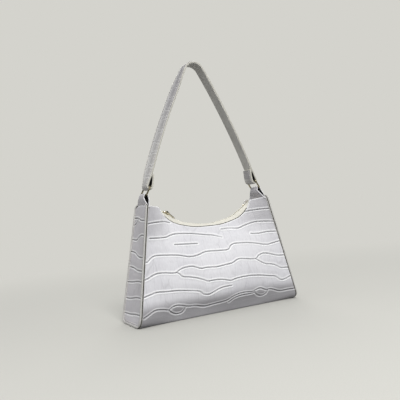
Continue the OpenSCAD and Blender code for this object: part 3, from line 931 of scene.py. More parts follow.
def seam_strip(inset, depth, half_w, half_t, ripple):
    """A rounded strip along the seam, inset from the outline and at a depth under the plane."""
    line = seam_path(inset, SLANT_H, SEAM_TURN_IN)
    run = unit(np.gradient(line, axis=0))
    across = np.column_stack([-run[:, 1], run[:, 0]])
    along = np.arange(len(line))
    wobble = ripple*(np.sin(along/3.1) + 0.6*np.sin(along/1.7 + 1))
    whole = np.minimum(soft_step(*SEAM_TAPER, along), soft_step(*SEAM_TAPER, along[::-1]))
    slim = SEAM_TIP + (1 - SEAM_TIP)*whole
    sections = []
    for place, side, extra, size in zip(line, across, wobble, slim):
        ring = []
        for turn in circle(14):
            w, d = squarish(turn, 0.6, 0.6)
            y, up = place + side*(size*half_w*w + extra)
            ring.append(side_point(depth + size*half_t*d, y, up))
        sections.append(ring)
    return sweep(sections)


def binding():
    """The turned edges of the two leathers along a seam."""
    return joined([seam_strip(inset=1.15, depth=0.2, half_w=1.25, half_t=0.95, ripple=0.03),
                   seam_strip(inset=1.2, depth=2.75, half_w=1.05, half_t=0.4, ripple=0.03)])


def seam_paint():
    """The painted edge between the two turned edges."""
    return seam_strip(inset=1.2, depth=1.75, half_w=1.15, half_t=0.75, ripple=0.04)


def stitches(line, normals, sewing):
    """A row of stitches along a line: short rounded lengths of thread, half sunk."""
    pitch, length, radius = sewing
    run = run_along(line)
    parts = []
    for middle in np.arange(pitch/2, run[-1] - pitch/2, pitch):
        start, end = [places_at(middle + way*length/2, run, line) for way in (-1, 1)]
        normal = unit(places_at(middle, run, normals))
        side = np.cross(unit(end - start), normal)
        sections = []
        for share, size, lift in STITCH_SHAPE:
            center = start + (end - start)*share + normal*radius*(lift - THREAD_SINK)
            sections += round_sections([center], [side], [normal], radius*size, 6)
        parts.append(sweep(sections))
    return joined(parts)


def gusset_stitches():
    """The sewn line just inside a gusset's edges."""
    line = seam_path(SEAM_W + SEWN_FROM_SEAM, SLANT_H - SEWN_UNDER_HEAD)
    places = side_point(SEAM_PROUD - 0.25, line[:, 0], line[:, 1])
    return stitches(places, np.tile(SIDE_NORMAL, (len(places), 1)), GUSSET_SEWING)


def make_sides():
    for side, _, turn in SIDES:
        part, marks = gusset_leather()
        new_piece(side + "_gusset_leather", turn(part), "bag", SIDE_LEATHER, marks,
                  side + "_gusset", LEATHER_CORNER)
        new_piece(side + "_seam_edges", turn(binding()), "bag", STRAP_LEATHER,
                  node=side + "_edge_binding")
        new_piece(side + "_seam_paint", turn(seam_paint()), "bag", DARK_PAINT)
        new_piece(side + "_gusset_stitches", turn(gusset_stitches()), "bag", THREAD)


# The inside

BOARD_T = 1.8
LINING_Z = LEATHER_T + LAYER_GAP + BOARD_T + LAYER_GAP
SIDE_STACK = SEAM_PROUD + LEATHER_T + 2*TAB_T + 3*LAYER_GAP
LINING_IN = (SIDE_STACK + LINING_T)/math.cos(SLANT)
LINING_EDGE = HALF_SHOULDER - LINING_IN - LAYER_GAP
BASE_LINING_HALF = (HALF_BASE - LINING_IN - (LINING_Z + LINING_T)*math.tan(SLANT)
                    - LAYER_GAP)
ON_LINING = LINING_INSET + LINING_T + LAYER_GAP
POCKET_HALF = 55*HALF_SHOULDER/HALF_BASE
POCKET_LOW = 30
POCKET_HIGH = 85
CLOTH_CORNER = 60
CLOTH_PITCH = 2.6
CLOTH_HEM = 8
BULGE = 0.25


def cloth_ripple(x, z):
    return 0.22*np.sin(x/7 + z/19) + 0.16*np.sin(z/11 - x/29 + 1)


def cloth_wall(columns, rows, inset):
    """Lining cloth along a wall, lightly rippled inwards."""
    near = wall_points(columns, rows, inset, LINING_T, LINING_EDGE)
    far = wall_points(columns, rows, inset + LINING_T, LINING_T, LINING_EDGE)
    ripple = 0.2 + np.abs(cloth_ripple(near[..., 0], near[..., 2]))
    ripple = ripple*np.clip(np.minimum(rows, 1 - rows)*CLOTH_HEM, 0, 1)[None, :]
    near[..., 1] += ripple*0.5
    far[..., 1] += ripple
    return shell(near, far)


def base_lining():
    x, y = np.meshgrid(np.linspace(-BASE_LINING_HALF, BASE_LINING_HALF, 80),
                       np.linspace(FLAT_D/2 - LAYER_GAP, -FLAT_D/2 + LAYER_GAP, 20),
                       indexing="ij")
    lift = 0.15 + 0.15*np.sin(x/13)*np.sin(y/9)
    return shell(np.stack([x, y, np.full(x.shape, LINING_Z)], axis=-1),
                 np.stack([x, y, LINING_Z + LINING_T + lift], axis=-1))


def side_lining():
    taper = (SHOULDER_D - MOUTH_D)/(2*(HALF_SHOULDER - HALF_MOUTH))
    s = np.linspace(SEAM_LIFT + ON_LINING + 0.1, SLANT_H - 2.8, 90)
    half = side_half(s, ON_LINING) - SIDE_STACK*taper/2*soft_step(60, SLANT_H, s)
    t = np.linspace(1, -1, 26)[:, None]
    y = half*t
    bulge = BULGE*(1 - t**2)*(1 + np.sin(s/9))
    return shell(side_point(SIDE_STACK, y, s), side_point(SIDE_STACK + LINING_T + bulge, y, s))


def make_lining():
    walls = cloth_wall(rim_columns(LINING_EDGE, CLOTH_PITCH), wall_rows(8, 60), LINING_INSET)
    low, high = [(height - CORNER_R)/(RIM_LOW - CORNER_R) for height in (POCKET_LOW, POCKET_HIGH)]
    pocket = cloth_wall(np.linspace(-POCKET_HALF, POCKET_HALF, 46), np.linspace(low, high, 26),
                        ON_LINING)
    side = side_lining()
    for name, part, node in (("front_lining_cloth", walls, "lining_front"),
                             ("back_lining_cloth", turned_back(walls), "lining_back"),
                             ("slip_pocket", turned_back(pocket), "inner_pocket"),
                             ("base_lining_cloth", base_lining(), "lining_base"),
                             ("right_lining_cloth", side, "lining_right"),
                             ("left_lining_cloth", mirrored(side), "lining_left")):
        new_piece(name, part, "bag", CLOTH, node=node, crisp=CLOTH_CORNER)


def dress_base_board():
    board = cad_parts["base_board"]
    board.data.materials.clear()
    board.data.materials.append(BOARD)


# The zip

TAPE_T = 0.5
TAPE_TUCK = 6
TAPE_HALF = 1.7
TAPE_REACH = math.radians(90*0.93)
TOOTH_PITCH = 2.6
TOOTH_FOOT = 1.95
TOOTH_HEAD = 0.6
BEAD_R = 0.6
BEAD_HALF = 67
BEAD_INWARDS = 1.2
BEAD_RISE = 0.3
UPPER_R = RIDGE_R - 1.7
LOWER_R = RIDGE_R + 1.5
PIN_R = RIDGE_R - 3.71
PIN_WIRE_R = 0.6
PLATE_STATIONS = 17
PLATE_NARROWS = 0.22
PLATE_THINS = 0.35
PULL_L = 14.6
PULL_HALF = 2.1
PULL_NECK = 4
PULL_HOLE_R = 1
PULL_POINTS = 60
PULL_DIP = math.radians(9)

# A tooth from its foot on the tape to its head: share of the way, half length, half height
TOOTH_SHAPE = ((0, 0.55, 0.7), (0.15, 0.72, 0.85), (0.5, 0.6, 0.75), (0.85, 0.8, 0.8),
               (1, 0.6, 0.6))

# The slider's neck, flanges and posts: their turn and radius on the arc, their low and high
# corners about that place, and how round their edges are
SLIDER_BLOCKS = (
    (-SLIDER_TURN - 3/RIDGE_R, RIDGE_R, (-1.5, -0.3, -1.4), (1.5, 0.3, 1.4), 0.1),
    (-SLIDER_TURN, UPPER_R, (-3.4, -4.0, -2.2), (3.4, -3.3, 0.5), 0.3),
    (-SLIDER_TURN, UPPER_R, (-3.4, 3.3, -2.2), (3.4, 4.0, 0.5), 0.3),
    (-SLIDER_TURN, PIN_R, (-1.2, -3.4, -1.2), (1.2, -2.2, 1.7), 0.4),
    (-SLIDER_TURN, PIN_R, (-1.2, 2.2, -1.2), (1.2, 3.4, 1.7), 0.4),
)

# The stops, in the same way: two small ones at the left end and one across at the right
STOP_BLOCKS = (
    (-STOP_MIDDLE, RIDGE_R, (-1, -1.7, -1.1), (1, -0.6, 1.1), 0.3),
    (-STOP_MIDDLE, RIDGE_R, (-1, 0.6, -1.1), (1, 1.7, 1.1), 0.3),
    (STOP_MIDDLE, RIDGE_R, (-1, -1.7, -1.1), (1, 1.7, 1.1), 0.35),
)

# The pull's upper side, out to in, as how far in from its edge and how high, and its eye
PULL_RIMS = ((0, 0.10), (0, 0.38), (0.16, 0.62))
PULL_EYE = ((0.66, -1.75), (1.0, -1.85), (1.11, -1.6), (1.11, 1.6), (1.0, 1.85), (0.66, 1.75))


def arc_z(x):
    return ZIP_CENTER - np.sqrt(RIDGE_R**2 - x**2)


def on_arc(turn, radius, y):
    """A place on the zip's arc: its angle from the middle, radius and y."""
    return np.array([radius*math.sin(turn), y, ZIP_CENTER - radius*math.cos(turn)])


def ridge_dip(run):
    """How far the teeth hang under the slider's arc at a distance along it from the middle."""
    return RIDGE_DIP*bump_at(np.abs(run), RIDGE_DIP_AT, RIDGE_DIP_HALF)


def mouth_edge():
    """A bead of paint along the front rim, between the leather and the tape."""
    x = np.linspace(-BEAD_HALF, BEAD_HALF, 190)
    path = np.column_stack([x, -rim_y(x) + BEAD_INWARDS, rim_z(x) + BEAD_RISE])
    return sweep(round_sections(path, flat_normals(path), np.tile([0, 1, 0], (len(x), 1)),
                                BEAD_R, 10))


def zip_tape():
    """The front tape: tucked in behind the rim, then up and over to the teeth."""
    x = HALF_MOUTH*np.sin(np.linspace(-TAPE_REACH, TAPE_REACH, 150))
    tuck, rim = [wall_points(x, [1], LEATHER_T + LAYER_GAP, drop, LINING_EDGE)[:, 0]
                 for drop in (TAPE_TUCK, 0)]
    ridge = arc_z(x) - ridge_dip(x)
    low, high = [np.stack([x, np.full(x.shape, -TAPE_HALF - TAPE_T), ridge + rise], axis=-1)
                 for rise in (-0.8, 0.1)]
    bend = rim*0.35 + low*0.65 + np.array([0, -0.25, 0.15])
    outer = np.array([even_line(smooth_line(points, 0.7), 12)
                      for points in zip(tuck, rim, bend, high)])
    return shell(outer, outer - grid_normals(outer)*TAPE_T)


def tooth(turn, side):
    """One moulded tooth: a rounded foot on the tape and a head that reaches to the middle."""
    sections = []
    for share, long, thick in TOOTH_SHAPE:
        y = side*(TOOTH_FOOT + (TOOTH_HEAD - TOOTH_FOOT)*share)
        ring = []
        for angle in circle(10):
            a, r = squarish(angle, 0.7, 0.7)
            ring.append(on_arc(turn + long*a/RIDGE_R,
                               RIDGE_R + ridge_dip(turn*RIDGE_R) + thick*r, y))
        sections.append(ring)
    return sweep(sections if side > 0 else sections[::-1])


def make_tapes():
    tape, bead = zip_tape(), mouth_edge()
    for name, part in (("front", tape), ("back", turned_back(tape))):
        new_piece("zip_tape_" + name + "_weave", part, "bag", TAPE,
                  node="zip_tape_" + name)
    for name, part in (("front", bead), ("back", turned_back(bead))):
        new_piece(name + "_mouth_edge", part, "bag", DARK_PAINT)


def make_teeth():
    step = TOOTH_PITCH/RIDGE_R
    count = int(2*(STOP_TURN - 0.3/RIDGE_R)/step)
    for name, side in (("front", -1), ("back", 1)):
        teeth = [tooth((i + 0.5 + side/4 - count/2)*step, side) for i in range(count)]
        new_piece("zip_teeth_" + name + "_moulded", joined(teeth), "bag", TEETH,
                  node="zip_teeth_" + name)


def block_on_arc(turn, radius, part):
    """Puts a small piece, drawn about the origin with Z away from the arc's centre, on the arc."""
    points, faces = part
    c, s = toward(turn)
    placed = on_arc(turn, radius, 0) + points@np.array([[c, 0, s], [0, 1, 0], [s, 0, -c]])
    return placed, [face[::-1] for face in faces]


def blocks_on_arc(blocks):
    return [block_on_arc(turn, radius, round_box(low, high, soft))
            for turn, radius, low, high, soft in blocks]


def make_stops():
    new_piece("zip_stop_clamps", joined(blocks_on_arc(STOP_BLOCKS)), "bag", GOLD,
              node="zip_stops")


def curved_plate(radius, thick, length, width, nose):
    """A plate of the slider, curved with the zip and narrowed at one end."""
    sections = []
    for share in np.linspace(0, 1, PLATE_STATIONS):
        a = -length/2 + length*share
        ends = [bump_at(share, 0, soft) + bump_at(share, 1, soft) for soft in (0.09, 0.06)]
        half = width/2*(1 - nose*soft_step(0.45, 1, share))*(1 - PLATE_NARROWS*ends[0])
        slim = thick/2*(1 - PLATE_THINS*ends[1])
        ring = []
        for angle in circle(16):
            y, r = squarish(angle, 0.35, 0.45)
            ring.append(on_arc(-SLIDER_TURN + a/radius, radius - slim*r, half*y))
        sections.append(ring)
    return sweep(sections)


def slider_pin():
    """The short wire across the slider that the pull turns on."""
    ring = [PIN_WIRE_R*toward(a) for a in circle(16)]
    pin = sweep([[(x, y, z) for x, z in ring] for y in (-3.5, -3.3, 3.3, 3.5)])
    return block_on_arc(-SLIDER_TURN, PIN_R, pin)


def make_slider():
    """Two plates joined by a neck, with side flanges below and two posts for the pin."""
    parts = [curved_plate(UPPER_R - 0.1, thick=1.4, length=9.6, width=7.4, nose=0.2),
             curved_plate(LOWER_R, thick=0.8, length=9, width=2.8, nose=0.1),
             *blocks_on_arc(SLIDER_BLOCKS), slider_pin()]
    new_piece("zip_slider_body", joined(parts), "zip_slider", GOLD, node="zip_slider",
              crisp=45)


def pull_plate():
    """The pull's flat tab, with rounded edges and a hole near its end."""
    end = np.array([PULL_L - PULL_HALF, 0])
    middle = np.array([PULL_L/2, 0])
    neck = np.array([(0.4, -PULL_HALF*0.82), (PULL_NECK, -PULL_HALF*0.78)])
    nose = [end + PULL_HALF*toward(a) for a in np.linspace(-math.pi/2, math.pi/2, 17)]
    line = np.vstack([neck, nose, neck[::-1]*np.array([1, -1]), neck[:1]])
    outline = even_line(line, PULL_POINTS + 1)[:-1]
    first = np.argmin(np.hypot(outline[:, 0] - PULL_L, outline[:, 1]))
    outline = np.roll(outline, -first, axis=0)
    hole = np.array([end + PULL_HOLE_R*toward(a) for a in circle(PULL_POINTS)])
    rings = [(outline + (middle - outline)*np.array([edge/PULL_L*2, edge/PULL_HALF]), z)
             for edge, z in PULL_RIMS]
    rings += [(hole + (hole - end)*0.16, 0.62), (hole, 0.42)]
    upper = [np.column_stack([flat, np.full(len(flat), z)]) for flat, z in rings]
    lower = [np.column_stack([flat, np.full(len(flat), -z)]) for flat, z in rings[::-1]]
    return sweep([*upper, *lower], closed=True)


def make_pull():
    """The pull: its tab and the eye round the pin, hanging a little under the slider's line."""
    eye = sweep([[(r*math.cos(a), y, r*math.sin(a)) for r, y in PULL_EYE] for a in circle(24)],
                closed=True)
    points, faces = joined([pull_plate(), eye])
    c, s = math.cos(PULL_DIP), math.sin(PULL_DIP)
    tilted = np.column_stack([points[:, 0]*c - points[:, 2]*s, points[:, 1],
                              points[:, 0]*s + points[:, 2]*c])
    new_piece("zip_pull_tab", block_on_arc(-SLIDER_TURN, PIN_R, (tilted, faces)), "zip_pull",
              GOLD, node="zip_pull", crisp=40)


# Rings and tabs

TAB_DEPTH = SEAM_PROUD + LEATHER_T + LAYER_GAP
TAB_LAYER = 1.4
TAB_COLUMNS = 18
TAB_ROOT_OUTSIDE = 19.6
TAB_ROOT_INSIDE = 15
ROOT_TOP = (149.5, 152.5)
TAB_FLARE = 12.4
FLARE_LOW = 151.5
FLARE_H = 14
# Heights over which the inside of the loop turns to painted shadow
LOOP_DARKENS = (152.5, 155)
# Painted shade over the whole tab
TAB_SHADE = 0.22
TAB_CORNER = 60
EDGE_WEAR = 0.8
EDGE_SOFT = 0.8
EDGE_BULGE = 0.45

# A tab's loop round the ring's lower bar, as places beside and above the bar
TAB_LOOP = [(2.7, -13.5), (3.2, -10), (3.6, -6.5), (3.4, -3), (2.1, 0.4), (0, 2.0), (-2.1, 0.4),
            (-3.1, -3), (-2.7, -6), (-1.4, -9), (0, -12)]


def ring_wire():
    """A ring: one wire bent round four soft corners, in the plane of its two bars."""
    half_bar, half_leg = RING_W/2 + WIRE_R, RING_H/2
    line = []
    for across, up, first in ((1, 1, 0), (-1, 1, 90), (-1, -1, 180), (1, -1, 270)):
        corner = np.array([across*(half_bar - BEND_R), up*(half_leg - BEND_R)])
        line += [corner + BEND_R*toward(turn)
                 for turn in np.radians(np.linspace(first, first + 90, 9))]
    line = even_line(np.array(line + line[:1]), 121)[:-1]
    lean = np.array([-math.sin(RING_LEAN), math.cos(RING_LEAN)])
    face = np.array([math.cos(RING_LEAN), 0, math.sin(RING_LEAN)])
    rise = line[:, 1] + half_leg
    path = np.column_stack([LOW_BAR[0] + lean[0]*rise, line[:, 0], LOW_BAR[1] + lean[1]*rise])
    run = unit(np.roll(path, -1, axis=0) - np.roll(path, 1, axis=0))
    ups = np.tile(face, (len(path), 1))
    return sweep(round_sections(path, ups, np.cross(face, run), WIRE_R, 18), closed=True)


def tab_line():
    """Middle of a tab's leather: up behind the gusset, loosely round the bar and down inside."""
    outer = [side_point(TAB_DEPTH + TAB_LAYER/2, 0, SLANT_H + up) for up in (-12, -6, -1)]
    inner = [side_point(TAB_DEPTH + 1.5*TAB_LAYER + 0.05, 0, SLANT_H + up)
             for up in (-2, -6, -12)]
    loop = [np.array([LOW_BAR[0] + along, 0, LOW_BAR[1] + up]) for along, up in TAB_LOOP]
    return even_line(smooth_line(outer + loop + inner, 0.5), 140)


def tab_half(line):
    """Half the width of a tab: narrow at the ring and flared down to the gusset's shoulders."""
    height = line[:, 2]
    going_up = np.arange(len(line)) < np.argmax(height)
    flare = TAB_W/2 + 0.2 + TAB_FLARE*(1 - np.clip((height - FLARE_LOW)/FLARE_H, 0, 1))
    root = np.where(going_up, TAB_ROOT_OUTSIDE, TAB_ROOT_INSIDE)
    share = soft_step(*ROOT_TOP, height)
    return root*(1 - share) + flare*share


def tab_sections(line, half_t, crown):
    """Cross-sections of a tab, whose width runs along Y: crowned, with softened edges."""
    sections = []
    edge = half_t*EDGE_SOFT
    across = np.array([0, 1, 0])
    for place, normal, half in zip(line, flat_normals(line), tab_half(line)):
        top = [place + normal*(half_t + crown*(1 - t*t)) + across*t*(half - edge)
               for t in np.linspace(-1, 1, TAB_COLUMNS)]
        under = [place - normal*half_t + across*t*(half - edge)
                 for t in np.linspace(1, -1, TAB_COLUMNS)]
        right, left = [[place + side*(across*half + way*normal*half_t*EDGE_BULGE)
                        for way in (1, -1)] for side in (1, -1)]
        sections.append([*top, *right, *under, *left])
    return sections


def tab_leather():
    """A tab, with its cut edges pale, painted shadow black inside its loop and painted shade over
    all of it.
    """
    line = tab_line()
    inner, edge = np.zeros((2, 2*TAB_COLUMNS + 4))
    inner[:TAB_COLUMNS] = 1
    edge[[TAB_COLUMNS, TAB_COLUMNS + 1, -2, -1]] = EDGE_WEAR
    inside = soft_step(*LOOP_DARKENS, line[:, 2])[:, None]*inner
    return sweep(tab_sections(line, TAB_LAYER/2, 0.1)), {
        "inside": inside.ravel(), "lip": np.tile(edge, len(line)),
        "under": np.full(inside.size, TAB_SHADE)}


def tab_stitches():
    """A short sewn line across a tab, under the loop."""
    places = side_point(TAB_DEPTH - 1.0, np.linspace(-11, 11, 24), SLANT_H + 5.2)
    return stitches(places, np.tile(SIDE_NORMAL, (len(places), 1)), TAB_SEWING)


def make_tabs_and_rings():
    (tab, marks), wire, sewn = tab_leather(), ring_wire(), tab_stitches()
    for side, sign, turn in SIDES:
        leather = new_piece(side + "_tab_leather", turn(tab), None, SIDE_LEATHER,
                            marks, side + "_tab", TAB_CORNER)
        thread = new_piece(side + "_tab_stitches", turn(sewn), None, THREAD)
        for piece in (leather, thread):
            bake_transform(piece)
        new_piece(side + "_ring_wire", turn(wire), side + "_ring", PAINTED_DARK_RING_GOLD,
                  node=side + "_ring")


# The strap

TOP_BAR = LOW_BAR + RING_H*toward(RING_LEAN + math.pi/2)
FOLD_MID = WIRE_R + FOLD_GAP + STRAP_T
STRAP_FOOT = TOP_BAR + FOLD_MID*toward(FOOT_LEAN)
LONG_R = (STRAP_FOOT[0] - HEAD_R*math.cos(HEAD_LEAN))/(math.cos(FOOT_LEAN) - math.cos(HEAD_LEAN))
LONG_CENTER = STRAP_FOOT - LONG_R*toward(FOOT_LEAN)
HEAD_CENTER = LONG_CENTER + (LONG_R - HEAD_R)*toward(HEAD_LEAN)
LEFT_TWIST = math.radians(14)
RIGHT_TWIST = math.radians(1)
TWIST_GROWS = (178, 202)
TWIST_ENDS = (312, 350)
FOLD_STATIONS = 76
FOLD_RUN = 30
STRAP_CROWN = 0.5
STRAP_COLUMNS = 24
STRAP_HALF = STRAP_W/2 - 0.35
STRAP_TOP = STRAP_T + 0.1
SPINE = -2.3
SEWN_IN = 2.4
PAINT_T = 0.42
PAINT_AT = STRAP_W/2 - 0.32
PAINT_HALF = 1.15
PAINT_LESS_ON_LEG = 0.35
STRAP_EDGE_ROUND = 0.45
STRAP_CORNER = 55

# How much of the press shows on the strap: its height, grooves and lips
STRAP_PRESS = (0.5, 0.4, 0.45)

# Painted shade: how dark the outer layer's front half, upper legs and folded flaps are painted, and
# where it changes
FORE_SHADE = 0.3
LEG_SHADE = 0.6
LEG_DARKENS = (200, 320)
FLAP_SHADE = 0.78
# Heights below which the lining's face inside the fold is painted shadow black
FOLD_CLEARS = (192, 195.5)

# The strap's folded end, from its tip, as heights over the ring's bar and places out from it
FLAP = [(FOLD_L, 0.15), (14, -0.5), (10.5, -1.6), (6.5, -2.7), (3, -3.3)]

# Short pressed lines of the strap: first one, gap, their two ends across, and how they wander
CROSS_LINES = ((7, 17, SPINE, STRAP_W/2, 1.9), (14, 21, -STRAP_W/2, SPINE, 2.6))


def turned(vector, axis, angle):
    """Vectors turned about axes, a row each."""
    c, s = np.cos(angle)[:, None], np.sin(angle)[:, None]
    along = (vector*axis).sum(1, keepdims=True)
    return vector*c + np.cross(axis, vector)*s + axis*along*(1 - c)


def leg_turn(line):
    """The way up each leg and how far the leg is turned about it, front edge inwards."""
    side = np.where(line[:, 0] < 0, -1.0, 1.0)
    height = line[:, 2]
    lean = np.arcsin(np.clip((height - LONG_CENTER[1])/LONG_R, math.sin(FOOT_LEAN),
                             math.sin(HEAD_LEAN)))
    axis = np.column_stack([-side*np.sin(lean), np.zeros(len(line)), np.cos(lean)])
    most = np.where(side < 0, LEFT_TWIST, -RIGHT_TWIST)
    return axis, most*soft_step(*TWIST_GROWS, height)*(1 - soft_step(*TWIST_ENDS, height))


def strap_mid():
    """Middle line between the layers, from the right end over the top to the left end."""
    out, up = toward(FOOT_LEAN), toward(FOOT_LEAN + math.pi/2)
    flap = [TOP_BAR + up*height + out*away for height, away in FLAP]
    turn = [TOP_BAR + FOLD_MID*(math.cos(a)*out + math.sin(a)*up)
            for a in np.radians(np.linspace(-180, -6, 16))]
    fold = even_line(smooth_line(flap + turn, 0.4), FOLD_STATIONS)
    long = [LONG_CENTER + LONG_R*toward(a)
            for a in np.linspace(FOOT_LEAN, HEAD_LEAN, 90, endpoint=False)]
    head = [HEAD_CENTER + HEAD_R*toward(a) for a in np.linspace(HEAD_LEAN, math.pi/2, 30)]
    half = np.vstack([fold, even_line(np.array(long + head), 170)])
    off = (half - TOP_BAR)@out - FOLD_MID
    off[FOLD_STATIONS:] = 0
    off = np.concatenate([off, off[-2::-1]])
    flat = np.vstack([half, half[-2::-1]*np.array([-1, 1])])
    line = np.column_stack([flat[:, 0], np.zeros(len(flat)), flat[:, 1]])
    axis, angle = leg_turn(line)
    side = np.where(line[:, 0] < 0, -1.0, 1.0)
    inward = np.column_stack([side*out[0], np.zeros(len(line)), np.full(len(line), out[1])])
    inward = inward*off[:, None]
    return line + turned(inward, axis, angle) - inward


STRAP_LINE = strap_mid()
STRAP_RUN = run_along(STRAP_LINE)
ON_LEG = soft_step(FOLD_RUN - 6, FOLD_RUN + 6, np.minimum(STRAP_RUN, STRAP_RUN[-1] - STRAP_RUN))
STRAP_SWELL = STRAP_CROWN*(0.25 + 0.75*ON_LEG)


def strap_frame():
    """At each place of the strap: its outward normal and the way to its front edge."""
    run = np.gradient(STRAP_LINE, axis=0)
    run[:, 1] = 0
    run = unit(run)
    out = np.column_stack([run[:, 2], np.zeros(len(run)), -run[:, 0]])
    front = np.tile([0, -1.0, 0], (len(run), 1))
    return [turned(way, *leg_turn(STRAP_LINE)) for way in (out, front)]


STRAP_OUT, STRAP_FRONT = strap_frame()


def strap_relief():
    """Pressed lines: one along the strap, and short ones from it to both edges."""
    last = STRAP_RUN[-1] - FOLD_RUN
    along, across = np.meshgrid(STRAP_RUN, np.linspace(1, -1, STRAP_COLUMNS)*STRAP_W/2,
                                indexing="ij")
    lines = [[(at, SPINE + 0.5*math.sin(at/17) + 0.3*math.sin(at/7))
              for at in np.arange(FOLD_RUN, last, 12.0)]]
    for first, gap, low, high, turn in CROSS_LINES:
        at = FOLD_RUN + first
        k = 0
        while at < last - 4:
            bow = 1.8*math.sin(k*turn)
            lines.append([(at + bow, low), (at - bow*0.5, low*0.6 + high*0.4),
                          (at + 0.8*math.cos(k*2.7), low*0.3 + high*0.7), (at - bow, high)])
            at += gap + 3*math.sin(k*2.3)
            k += 1
    height, groove, lip = emboss(along, across, lines)
    return [share*mark for share, mark in zip(STRAP_PRESS, (height - PILLOW_RISE, groove, lip))]


def strap_shade():
    """How much painted shade the outer layer gets: its front half, up its legs, and its folded
    ends.
    """
    half_count = len(STRAP_LINE)//2
    fore = soft_step(SPINE - 1, SPINE + 2.5, np.linspace(1, -1, STRAP_COLUMNS)*STRAP_HALF)
    shade = FORE_SHADE*fore + LEG_SHADE*soft_step(*LEG_DARKENS, STRAP_LINE[:, 2])[:, None]
    in_fold = np.abs(np.arange(len(STRAP_LINE)) - half_count) > half_count - FOLD_STATIONS*0.45
    return np.maximum(shade, FLAP_SHADE*in_fold[:, None])


def strap_outer():
    """The outer layer: crowned between its edges and pressed into tiles."""
    height, groove, lip = strap_relief()
    t = np.linspace(1, -1, STRAP_COLUMNS)
    rise = STRAP_TOP + STRAP_SWELL[:, None]*(1 - t**4) - STRAP_EDGE_ROUND*t**10 + height
    rise = np.column_stack([rise, np.full((len(rise), 2), 0.02)])
    across = np.append(t, [-1, 1])*STRAP_HALF
    sections = (STRAP_LINE[:, None] + STRAP_OUT[:, None]*rise[..., None]
                + STRAP_FRONT[:, None]*across[:, None])
    sides = np.zeros((len(rise), 2))
    marks = {name: np.column_stack([mark, sides]).ravel()
             for name, mark in (("groove", groove), ("lip", lip), ("under", strap_shade()))}
    return sweep(sections), marks


def strap_lining():
    """The inner layer, slightly rounded between its edges, with painted shadow black on its face
    inside the fold.
    """
    t = np.linspace(-1, 1, 14)
    swell = 0.2*ON_LEG[:, None]
    depth = np.column_stack([np.zeros((len(swell), 3)), STRAP_T + swell*(1 - t**4)])
    across = np.append([1, 0, -1], t)*STRAP_HALF
    sections = (STRAP_LINE[:, None] - STRAP_OUT[:, None]*depth[..., None]
                + STRAP_FRONT[:, None]*across[:, None])
    # Painted shadow: the lining's face inside the fold goes black
    painted_fold_shadow = np.zeros(depth.shape)
    painted_fold_shadow[:, 3:] = 1 - soft_step(*FOLD_CLEARS, STRAP_LINE[:, 2])[:, None]
    return sweep(sections), {"inside": painted_fold_shadow.ravel()}


def strap_edges():
    """The painted edges that cover both layers along the sides and across both ends."""
    ring = [squarish(a, 0.7, 0.55) for a in circle(12)]
    thick = PAINT_HALF - PAINT_LESS_ON_LEG*ON_LEG
    parts = []
    for sign in (-1, 1):
        parts.append(sweep([[place + sign*side*(PAINT_AT + PAINT_T*a) + out*b*half
                             for a, b in ring]
                            for place, out, side, half in zip(STRAP_LINE, STRAP_OUT,
                                                              STRAP_FRONT, thick)]))
    for end, after in ((0, 1), (-1, -2)):
        way = unit(STRAP_LINE[end] - STRAP_LINE[after])
        parts.append(sweep([[STRAP_LINE[end] + way*(PAINT_T*a - 0.05) + STRAP_OUT[end]*b
                             + STRAP_FRONT[end]*t for a, b in ring]
                            for t in np.linspace(-9.4, 9.4, 8)]))
    return joined(parts)


def strap_stitches():
    """Sewn lines along both edges of the strap and across its folded ends."""
    aside = STRAP_W/2 - SEWN_IN
    share = aside/(STRAP_W/2)
    top = STRAP_LINE + STRAP_OUT*(STRAP_TOP + STRAP_SWELL*(1 - share**4))[:, None]
    parts = [stitches(top + sign*STRAP_FRONT*aside, STRAP_OUT, STRAP_SEWING) for sign in (-1, 1)]
    for at in (3.0, STRAP_RUN[-1] - 3.0):
        i = int(np.argmin(np.abs(STRAP_RUN - at)))
        path = (STRAP_LINE[i] + STRAP_FRONT[i]*np.linspace(-6.4, 6.4, 12)[:, None]
                + STRAP_OUT[i]*(STRAP_TOP + STRAP_SWELL[i]*0.9))
        parts.append(stitches(path, np.tile(STRAP_OUT[i], (len(path), 1)), FOLD_SEWING))
    return joined(parts)


def make_strap():
    part, marks = strap_outer()
    new_piece("strap_outer_leather", part, "strap", STRAP_LEATHER, marks,
              "strap_outer", STRAP_CORNER)
    part, marks = strap_lining()
    new_piece("strap_lining_leather", part, "strap", BACKING, marks,
              "strap_lining", STRAP_CORNER)
    new_piece("strap_painted_edges", strap_edges(), "strap", CREAM_PAINT)
    new_piece("strap_stitches", strap_stitches(), "strap", THREAD)


# Floor, light and camera

FLOOR_SIDES = 96
FLOOR_RINGS = (0.02, 0.3, 0.6, 1.0, 2.0, 6.0, 40.0)
FLOOR_FADE = (0.25, 1.1)
FLOOR_BOUNCE = (0.13, 0.13, 0.13, 1)
AMBIENT = 0.66
AMBIENT_TONE = (0.98, 0.99, 1.0, 1)
LENS = 43.2
SENSOR_W = 36
CAMERA_AT = (-0.3270, -0.6047, 0.1301)
CAMERA_LOOK = (0.46848, 0.88260, 0.03931)
CAMERA_RIGHT = (0.88105, -0.46344, -0.09478)


